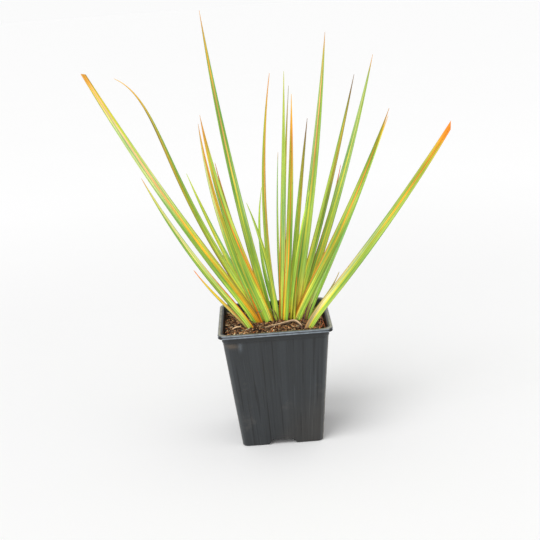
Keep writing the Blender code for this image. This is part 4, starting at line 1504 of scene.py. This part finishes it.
def scatter_crumbs(heap, draw, count, half):
    """Drop rough crumbs on the bed."""
    for _ in range(count):
        x, y = keep_inside(*inside_bed(draw, half), half - CRUMB_INSET)
        size = min(BIGGEST_CRUMB, SMALLEST_CRUMB + draw.expovariate(CRUMB_RARITY)) * MM
        ground = max(bed_height(x, y), mound_height(x, y) - CRUMB_REST * MM)
        shape = crumb(draw, Vector((x, y, ground + size * draw.uniform(*CRUMB_LIFT))), size)
        heap.add(shape, bit_tone=shaded(pick_tone(draw, LITTER_TONES), x, y))


def chip(centre, heading, length, width, thick, tilt, draw):
    """Return the points and faces of a flat husk or bark chip with torn ends."""
    along = Vector((math.cos(heading), math.sin(heading), tilt)).normalized()
    side = along.cross(Vector((0, 0, 1))).normalized()
    up = side.cross(along)
    rings = []
    for i in range(CHIP_SECTIONS):
        share = i / (CHIP_SECTIONS - 1)
        half = width / 2 * narrowed(share, *CHIP_ENDS) * draw.uniform(*CHIP_TEARS)
        bow = CHIP_BOW * length * math.sin(math.pi * share)
        middle = centre + along * (length * (share - 0.5)) + up * bow
        rings.append([middle + side * half * across + up * thick * rise
                      for across, rise in CHIP_SECTION])
    return skin(rings)


def scatter_chips(heap, draw, count, half):
    """Lay husks and bark chips on the bed, with the pale one at the left."""
    for _ in range(count):
        x, y = keep_inside(*inside_bed(draw, half), half - CHIP_INSET)
        length = draw.uniform(*CHIP_LENGTH) * MM
        centre = Vector((x, y, bed_height(x, y) + draw.uniform(*CHIP_LIFT) * MM))
        shape = chip(centre, draw.uniform(0, math.tau), length, length * draw.uniform(*CHIP_SLIMNESS),
                     draw.uniform(*CHIP_THICKNESS) * MM, draw.uniform(-CHIP_TILT, CHIP_TILT), draw)
        heap.add(shape, bit_tone=pick_tone(draw, LITTER_TONES))
    shape = chip(over_mound(*TAN_CHIP), TAN_CHIP_HEADING, *TAN_CHIP_SIZE, TAN_CHIP_TILT, draw)
    heap.add(shape, bit_tone=linear(TAN_CHIP_TONE))


def lay_red_bundle(heap, draw, half):
    """Lay the long reddish fibres beside the right front leaf."""
    for run in RED_BUNDLE:
        start, end = (Vector((x + draw.uniform(-1, 1), y + draw.uniform(-2, 2), 0)) * MM
                      for x, y in (run[:2], run[2:]))
        path = []
        for i in range(RED_FIBRE_POINTS):
            point = start.lerp(end, i / (RED_FIBRE_POINTS - 1))
            wobble = draw.uniform(-RED_FIBRE_WOBBLE, RED_FIBRE_WOBBLE) * MM
            x, y = keep_inside(point.x + wobble, point.y, half)
            path.append(Vector((x, y, mound_height(x, y) + draw.uniform(*RED_FIBRE_LIFT) * MM)))
        radii = [draw.uniform(*RED_FIBRE_RADII) * MM for _ in path]
        heap.add(tube(path, radii, 5), bit_tone=pick_tone(draw, REDDISH_TONES))


class LIBERTIA_OT_scatter_litter(bpy.types.Operator):
    """Scatter fibres, crumbs, husks and bark chips over the compost"""

    bl_idname = "libertia.scatter_litter"
    bl_label = "Scatter litter"

    def execute(self, context):
        settings = context.scene.libertia_compost
        half = soil_half_width(context.scene.libertia_pot, SOIL_EDGE_LEVEL) - LITTER_INSET
        fibres, crumbs, chips = (Heap(("bit_tone",)) for _ in range(3))
        scatter_fibres(fibres, random.Random(11), settings.fibres, half)
        lay_red_bundle(fibres, random.Random(12), half)
        scatter_crumbs(crumbs, random.Random(13), settings.crumbs, half)
        scatter_chips(chips, random.Random(14), settings.chips, half)
        for name, heap, surface, angle in (
                ("compost_fibres", fibres, ("fibre_husk", 0.8, 0.3), None),
                ("compost_crumbs", crumbs, ("peat_crumb", 0.95, 0.5), 50),
                ("compost_chips", chips, ("bark_chip", 0.85, 0.4), 50)):
            place_piece(name, heap.mesh(name), litter_material(*surface), angle)
        return {"FINISHED"}


# Leaves
class LeafSettings(bpy.types.PropertyGroup):
    """Thickness and veining of the leaves."""

    edge: length_property("Edge thickness", "Thickness of a blade at its margins", 0.3 * MM, 0.1 * MM,
                          2 * MM)
    body: length_property("Blade thickness", "Thickness of a blade between margin and midrib",
                          0.55 * MM, 0.1 * MM, 3 * MM)
    rib: length_property("Midrib rise", "Extra thickness of a blade at its midrib", 0.5 * MM, 0, 3 * MM)
    vein: length_property("Vein height", "Height of the parallel veins over the blade", 0.035 * MM, 0,
                          0.5 * MM, precision=5)
    tip: length_property("Tip width", "Width of a blade at its very tip", 0.35 * MM, 0.1 * MM, 5 * MM)
    lines: number_property("Streak count", "Streaks across half a blade", 3.6, 1, 30)
    freckles: number_property("Freckles", "Share of the blade's cells with a brown freckle", 0.05, 0, 1,
                              subtype="FACTOR")


def blade_width(leaf, share, tip):
    """Return a blade's width at a share of its length: full low down, and drawn out to a fine tip."""
    grown = share * leaf.cut
    swell = WIDTH_AT_FOOT + (1 - WIDTH_AT_FOOT) * min(1, grown / FULL_WIDTH_AT)
    taper = max(0, 1 - grown ** TAPER_POWER) ** TAPER_BLUNTNESS
    least = tip + (BLUNT_TIP - tip) * (1 - ease(TIP_SHARE, 1, share))
    return max(leaf.width * MM * swell * taper, least)


def direction(leaf, share):
    """Return the direction in which a leaf grows at a share of its length."""
    upright = 1 - CROWN_UPRIGHT * math.exp(-share * leaf.length * MM / CROWN_REACH)
    lean = (leaf.lean + leaf.bend * share) * upright + leaf.hook * share ** HOOK_POWER
    nod = (leaf.nod + leaf.dip * share) * upright
    return Vector((math.tan(math.radians(lean)), math.tan(math.radians(nod)), 1)).normalized()


def leaf_shares(leaf):
    """Return the shares of a leaf's length at which its blade has a section, closer at the tip."""
    step = SHORT_RING_STEP if leaf.length * MM < SHORT_LEAF else RING_STEP
    count = max(FEWEST_RINGS, round(leaf.length * MM / step))
    shares = [i / count for i in range(count)]
    last = shares[-1]
    return shares + [last + (1 - last) * share for share in TIP_RINGS]


def leaf_path(leaf, shares):
    """Return the midrib's points at some shares of a leaf's length."""
    point = over_mound(*leaf.foot, 0)
    path = [point.copy()]
    for low, high in zip(shares, shares[1:]):
        point += direction(leaf, (low + high) / 2) * (leaf.length * MM * (high - low))
        path.append(point.copy())
    return path


def blade_section(leaf, settings, point, along, share, number, swell):
    """Return the points round a blade's section, front then back, and how far across each lies."""
    ripple = RIPPLE_TURN * math.sin(math.tau * (RIPPLE_WAVES * share + RIPPLE_SHIFT * number))
    turn = math.radians(leaf.turn + ripple * ease(*RIPPLE_START, share))
    facing = Vector((math.sin(turn), -math.cos(turn), 0))
    across = along.cross(facing).normalized()
    normal = across.cross(along)
    half = blade_width(leaf, share, settings.tip) / 2 * (1 + swell * (1 - ease(*SHEATH_END, share)))
    slant = leaf.slant * ease(SLANT_START, 1, share)
    thin = min(1, half / FLESHY_HALF)
    row = [-part for part in reversed(ACROSS[1:])] + list(ACROSS)
    points, places = [], []
    for face in (1, -1):
        for k, part in enumerate(row if face == 1 else reversed(row)):
            flesh = blend(settings.edge, settings.body, 1 - abs(part) ** MARGIN_THINNING)
            flesh += settings.rib * hump(part, 0, RIB_SPREAD)
            flesh = max(flesh * thin, THINNEST)
            ridge = settings.vein * thin * (1 if k % 2 else -1) * (abs(part) < VEINED)
            fold = FOLD_SHARE * half * 2 * (1 - abs(part) ** FOLD_ROUNDING)
            out = face * (flesh / 2 + ridge) - fold
            points.append(point + across * (part * half) + normal * out + along * (part * half * slant))
            places.append(part)
    return points, places


def brightened(tone, gains):
    """Return a tone with its parts gained, all held back alike where the brightest would be white."""
    parts = [part * gain for part, gain in zip(tone, gains)]
    return tuple(part * min(1, BRIGHTEST / max(parts)) for part in parts)


def ring_values(look, share, reach, number):
    """Return the tones and marks that all points of one section of a leaf share."""
    # Painted light: the tones are brightened by the leaf's gain, more low down and most at the foot
    low = 1 - ease(0, BASE_SHARE, share)
    bright = blend(look.gain[1], look.gain[0], low) + BASE_GAIN * low
    bright += FOOT_GAIN * math.exp(-max(0, reach) / FOOT_GLOW)
    tip = ease(1 - look.tip_reach, 1 - look.tip_reach * TIP_FULL, share)
    soiled = SOILED * (1 - ease(0, SOILED_HEIGHT, reach))
    values = {}
    for name, run in zip(BLADE_TONES, (look.left, look.right, look.stripe)):
        tone = blend(tone_along(run, share), linear(TONES[look.tip]), tip)
        tone = brightened(tone, [gain * bright for gain in LEAF_GAIN])
        values[name] = blend(tone, linear(TONES["red_brown"]), soiled)
    values["margin_tone"] = linear(TONES[look.margin])
    values["glow_tone"] = brightened(linear(TONES[look.glow]), [bright] * 3)
    settled = ease(STRIPE_START, look.settle, share)
    values["stripe_form"] = tuple(
        blend(*pair, settled) for pair in ((look.side, look.end), look.width, look.strength))
    keep = FADED_MARGIN + (1 - FADED_MARGIN) * (1 - ease(*MARGIN_FADE, share))
    values["margin_form"] = (look.margins[0] * keep, look.margins[1] * keep, SEED_STEP * number)
    return values


def grow_leaf(heap, settings, leaf, look, crown, number):
    """Add one leaf to a heap, from its root under the compost to its tip, with its tones."""
    shares = leaf_shares(leaf)
    path = leaf_path(leaf, shares)
    foot = path[0]
    pull = Vector((crown[0] * MM - foot.x, crown[1] * MM - foot.y, 0)) * ROOT_PULL
    stations = [(0, foot + pull - Vector((0, 0, ROOT_DEPTH)), Vector((0, 0, 1)), -ROOT_DEPTH)]
    stations += [(share, point, direction(leaf, share), share * leaf.length * MM)
                 for share, point in zip(shares, path)]
    rings, values = [], {name: [] for name in heap.kinds}
    for share, point, along, reach in stations:
        ring, places = blade_section(leaf, settings, point, along, share, number, look.swell)
        rings.append(ring)
        values["blade_place"] += [(part, share, reach) for part in places]
        for name, value in ring_values(look, share, reach, number).items():
            values[name] += [value] * len(places)
    heap.add(skin(rings), **values)


def add_crown(heap, fan, number):
    """Add the short stem under the compost that a fan's leaves grow from."""
    x, y = fan.crown[0] * MM, fan.crown[1] * MM
    rings = [ellipse((x, y), fan.crown_size[0] * MM * swell, fan.crown_size[1] * MM * swell,
                     mound_height(x, y) - depth, CROWN_SIDES) for depth, swell in CROWN_PROFILE]
    heap.add(skin(rings), blade_place=(0.5, 0, 0), stripe_form=(0, 0.1, 0), margin_form=(0, 0, number),
             **dict.fromkeys(BLADE_TONES, linear(TONES["dark_brown"])))


class LIBERTIA_OT_grow_leaves(bpy.types.Operator):
    """Grow the fans of stiff striped leaves, one piece for each fan"""

    bl_idname = "libertia.grow_leaves"
    bl_label = "Grow leaves"

    def execute(self, context):
        settings = context.scene.libertia_leaves
        number = 0
        for name, fan in FANS.items():
            heap = Heap(BLADE_TONES, BLADE_FORMS)
            for leaf, look in fan.leaves:
                number += 1
                grow_leaf(heap, settings, leaf, look, fan.crown, number)
            add_crown(heap, fan, number)
            mesh = heap.mesh(name + "_blades")
            face_outward(mesh)
            surface = blade_material(name + "_skin", settings.lines, settings.freckles)
            piece = place_piece(name + "_blades", mesh, surface, 50)
            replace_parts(piece, name)
        return {"FINISHED"}


# Dried leaf and scraps
class DrySettings(bpy.types.PropertyGroup):
    """Colours of the dried leaf and the torn sheaths."""

    leaf_tone: colour_property("Leaf colour", "Colour of the dried leaf on the compost", "#f0cca8")
    sheath_tone: colour_property("Sheath colour", "Colour of the torn sheaths by the leaves", "#86564a")
    tendril_tone: colour_property("Thread colour", "Colour of threads between the leaves", "#d9c79a")


def smooth_run(points):
    """Return a smooth curve through some points, with as many steps between each pair."""
    run = []
    for i, (start, end) in enumerate(zip(points, points[1:])):
        before = points[max(i - 1, 0)]
        after = points[min(i + 2, len(points) - 1)]
        for step in range(RUN_STEPS):
            t = step / RUN_STEPS
            run.append(0.5 * ((2 * start) + (end - before) * t
                              + (2 * before - 5 * start + 4 * end - after) * t ** 2
                              + (3 * start - before - 3 * end + after) * t ** 3))
    return run + [points[-1].copy()]


def strip(heap, points, width, thick, arch, tone, twist, bank=0):
    """Add a thin arched strip along a smooth run, narrowing to its ends and leaning to one side."""
    run = smooth_run(points)
    rings, places = [], []
    length = 0.0
    for i, point in enumerate(run):
        if i:
            length += (point - run[i - 1]).length
        along = (run[min(i + 1, len(run) - 1)] - run[max(i - 1, 0)]).normalized()
        side = along.cross(Vector((0.02, 0.01, 1))).normalized()
        share = i / (len(run) - 1)
        side = Matrix.Rotation(math.radians(bank) + twist * share, 3, along) @ side
        up = side.cross(along)
        half = width / 2 * narrowed(share, *STRIP_ENDS)
        ring = []
        for face in (1, -1):
            for part in STRIP_ACROSS[::face]:
                curl = STRIP_CURL * thick * math.sin(STRIP_WAVES[0] * part + STRIP_WAVES[1] * share)
                rise = arch * (1 - part ** 2) + curl + face * thick / 2
                ring.append(point + side * (part * half) + up * rise)
                places.append((part, share, length))
        rings.append(ring)
    heap.add(skin(rings), bit_tone=tone, dry_place=places)


class LIBERTIA_OT_lay_dry_leaf(bpy.types.Operator):
    """Lay the dried leaf over the compost, with torn sheaths and threads between the leaf bases"""

    bl_idname = "libertia.lay_dry_leaf"
    bl_label = "Lay dried leaf"

    def execute(self, context):
        settings = context.scene.libertia_dry
        dried, scraps = (Heap(("bit_tone",), ("dry_place",)) for _ in range(2))
        points = [over_mound(*place) + Vector((0, 0, DRY_REST)) for place in DRY_RUN]
        strip(dried, points, DRY_WIDTH, DRY_THICKNESS, DRY_ARCH, tuple(settings.leaf_tone), DRY_TWIST,
              DRY_BANK)
        draw = random.Random(21)
        for foot, top, width in SHEATHS:
            foot, top = over_mound(*foot), over_mound(*top)
            middle = foot.lerp(top, 0.5) + Vector((draw.uniform(-1, 1), draw.uniform(-1, 0.4), 0)) * MM
            strip(scraps, [foot, middle, top], width * MM, SHEATH_THICKNESS, SHEATH_THICKNESS,
                  tuple(settings.sheath_tone), SHEATH_TWIST)
        for thread in TENDRILS:
            points = [Vector((x * MM, y * MM, SOIL_EDGE_LEVEL + z * MM)) for x, y, z in thread]
            strip(scraps, points, TENDRIL_WIDTH, SHEATH_THICKNESS, TENDRIL_ARCH,
                  tuple(settings.tendril_tone), TENDRIL_TWIST)
        leaf_skin, sheath_skin = dry_material("dried_leaf_skin"), dry_material("sheath_skin")
        piece = place_piece("dried_leaf", dried.mesh("dried_leaf"), leaf_skin, 50)
        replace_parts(piece, "dry_leaf")
        place_piece("sheath_scraps", scraps.mesh("sheath_scraps"), sheath_skin, 50)
        return {"FINISHED"}


# Stage
class StageSettings(bpy.types.PropertyGroup):
    """The pale floor, the light and the camera."""

    floor_tone: colour_property("Floor colour", "Colour of the plain floor", (0.95, 0.95, 0.95))
    backdrop: number_property("Backdrop", "Brightness of the backdrop to the camera", 0.965, 0, 2)
    surround: number_property("Surround light", "Strength of the even light from all round", 0.62, 0, 5)
    overhead: number_property("Overhead light", "Strength of the broad soft light from the upper left",
                              1.25, 0, 20)
    front: number_property("Front light", "Power of the large soft light beside the camera", 16.0, 0,
                           500, unit="POWER")
    fill: number_property("Fill light", "Power of the large light at the right", 2.0, 0, 500,
                          unit="POWER")
    camera_tilt: angle_property("Camera tilt", "Angle at which the camera looks down", 14.5)
    camera_roll: angle_property("Camera roll", "Turn of the camera about its line of sight", -4.25)
    camera_distance: length_property("Camera distance", "From the camera to the plant's middle", 1.015,
                                     0.1, 10)


def add_light(name, kind, place, target, power, tone=(1, 1, 1), **settings):
    """Add a light at a place, facing a target."""
    data = bpy.data.lights.new(name, kind)
    data.energy = power
    data.color = tone
    for key, value in settings.items():
        setattr(data, key, value)
    light = put(name, data)
    light.location = place
    light.rotation_euler = (Vector(target) - Vector(place)).to_track_quat("-Z", "Y").to_euler()


def add_area(name, form, power, tone=(1, 1, 1)):
    """Add a large rectangular light."""
    place, target, (width, height) = form
    add_light(name, "AREA", place, target, power, tone, shape="RECTANGLE", size=width, size_y=height)


def add_camera(settings):
    """Add the camera at the photograph's viewing angle."""
    tilt, roll = settings.camera_tilt, settings.camera_roll
    side, ahead = math.sin(CAMERA_AROUND), math.cos(CAMERA_AROUND)
    forward = Vector((-side * math.cos(tilt), ahead * math.cos(tilt), -math.sin(tilt)))
    right = Vector((ahead, side, 0))
    above = right.cross(forward)
    rolled_right = math.cos(roll) * right + math.sin(roll) * above
    rolled_up = -math.sin(roll) * right + math.cos(roll) * above
    target = CAMERA_TARGET[0] * rolled_right + Vector((0, 0, CAMERA_TARGET[1]))
    data = bpy.data.cameras.new("camera")
    data.sensor_width = SENSOR
    data.lens = FOCAL_PIXELS / PICTURE_PIXELS * SENSOR
    data.dof.use_dof = False
    camera = put("camera", data)
    turned = Matrix((rolled_right, rolled_up, -forward)).transposed().to_4x4()
    camera.matrix_world = Matrix.Translation(target - forward * settings.camera_distance) @ turned
    bpy.context.scene.camera = camera


def add_floor(tone):
    """Add the plain pale floor, a disc that reaches far past the picture."""
    shape = bmesh.new()
    bmesh.ops.create_circle(shape, cap_ends=True, segments=96, radius=FLOOR_REACH)
    mesh = mesh_from("floor", shape)
    mesh.materials.append(floor_material(tone))
    floor = put("floor", mesh)
    floor.location.z = -FLOOR_DROP


class LIBERTIA_OT_set_stage(bpy.types.Operator):
    """Set the pale floor, the even surround, three soft lights and the camera"""

    bl_idname = "libertia.set_stage"
    bl_label = "Set stage"

    def execute(self, context):
        settings = context.scene.libertia_stage
        add_floor(tuple(settings.floor_tone))
        world = bpy.data.worlds.new("pale_surround")
        world.use_nodes = True
        wires = Wiring(world.node_tree)
        seen = wires.node("LightPath").outputs["Is Camera Ray"]
        strength = wires.node("Mix", {0: seen, 2: settings.surround, 3: settings.backdrop}).outputs[0]
        backdrop = world.node_tree.nodes["Background"].inputs
        wires.feed(backdrop["Color"], (1, 1, 1, 1))
        wires.feed(backdrop["Strength"], strength)
        context.scene.world = world
        add_light("overhead_light", "SUN", OVERHEAD_PLACE, (0, 0, 0), settings.overhead,
                  angle=math.radians(OVERHEAD_SPREAD))
        add_area("front_light", FRONT_LIGHT, settings.front)
        add_area("fill_light", FILL_LIGHT, settings.fill, FILL_TONE)
        add_camera(settings)
        context.scene.view_settings.view_transform = "Standard"
        return {"FINISHED"}


# Panel and registration
class LIBERTIA_PT_maker(bpy.types.Panel):
    """The steps that make the potted libertia, and their settings"""

    bl_label = "Potted Libertia"
    bl_idname = "LIBERTIA_PT_maker"
    bl_space_type = "VIEW_3D"
    bl_region_type = "UI"
    bl_category = "Libertia"

    def draw(self, context):
        for step, store in STEPS:
            box = self.layout.box()
            box.operator(step.bl_idname)
            settings = getattr(context.scene, store)
            for name in settings.__annotations__:
                box.prop(settings, name)


STORES = (("libertia_pot", PotSettings), ("libertia_compost", CompostSettings),
          ("libertia_leaves", LeafSettings), ("libertia_dry", DrySettings),
          ("libertia_stage", StageSettings))
STEPS = ((LIBERTIA_OT_make_pot, "libertia_pot"), (LIBERTIA_OT_fill_compost, "libertia_compost"),
         (LIBERTIA_OT_scatter_litter, "libertia_compost"), (LIBERTIA_OT_grow_leaves, "libertia_leaves"),
         (LIBERTIA_OT_lay_dry_leaf, "libertia_dry"), (LIBERTIA_OT_set_stage, "libertia_stage"))
CLASSES = tuple(kind for _, kind in STORES) + tuple(step for step, _ in STEPS) + (LIBERTIA_PT_maker,)


def register():
    """Register the settings, the operators and the panel."""
    for kind in CLASSES:
        bpy.utils.register_class(kind)
    for name, kind in STORES:
        setattr(bpy.types.Scene, name, bpy.props.PointerProperty(type=kind))


def unregister():
    """Take the settings, the operators and the panel away again."""
    for name, _ in STORES:
        delattr(bpy.types.Scene, name)
    for kind in reversed(CLASSES):
        bpy.utils.unregister_class(kind)


def main():
    register()
    bpy.ops.libertia.make_pot()
    bpy.ops.libertia.fill_compost()
    bpy.ops.libertia.scatter_litter()
    bpy.ops.libertia.grow_leaves()
    bpy.ops.libertia.lay_dry_leaf()
    bpy.ops.libertia.set_stage()


if __name__ == "__main__":
    main()
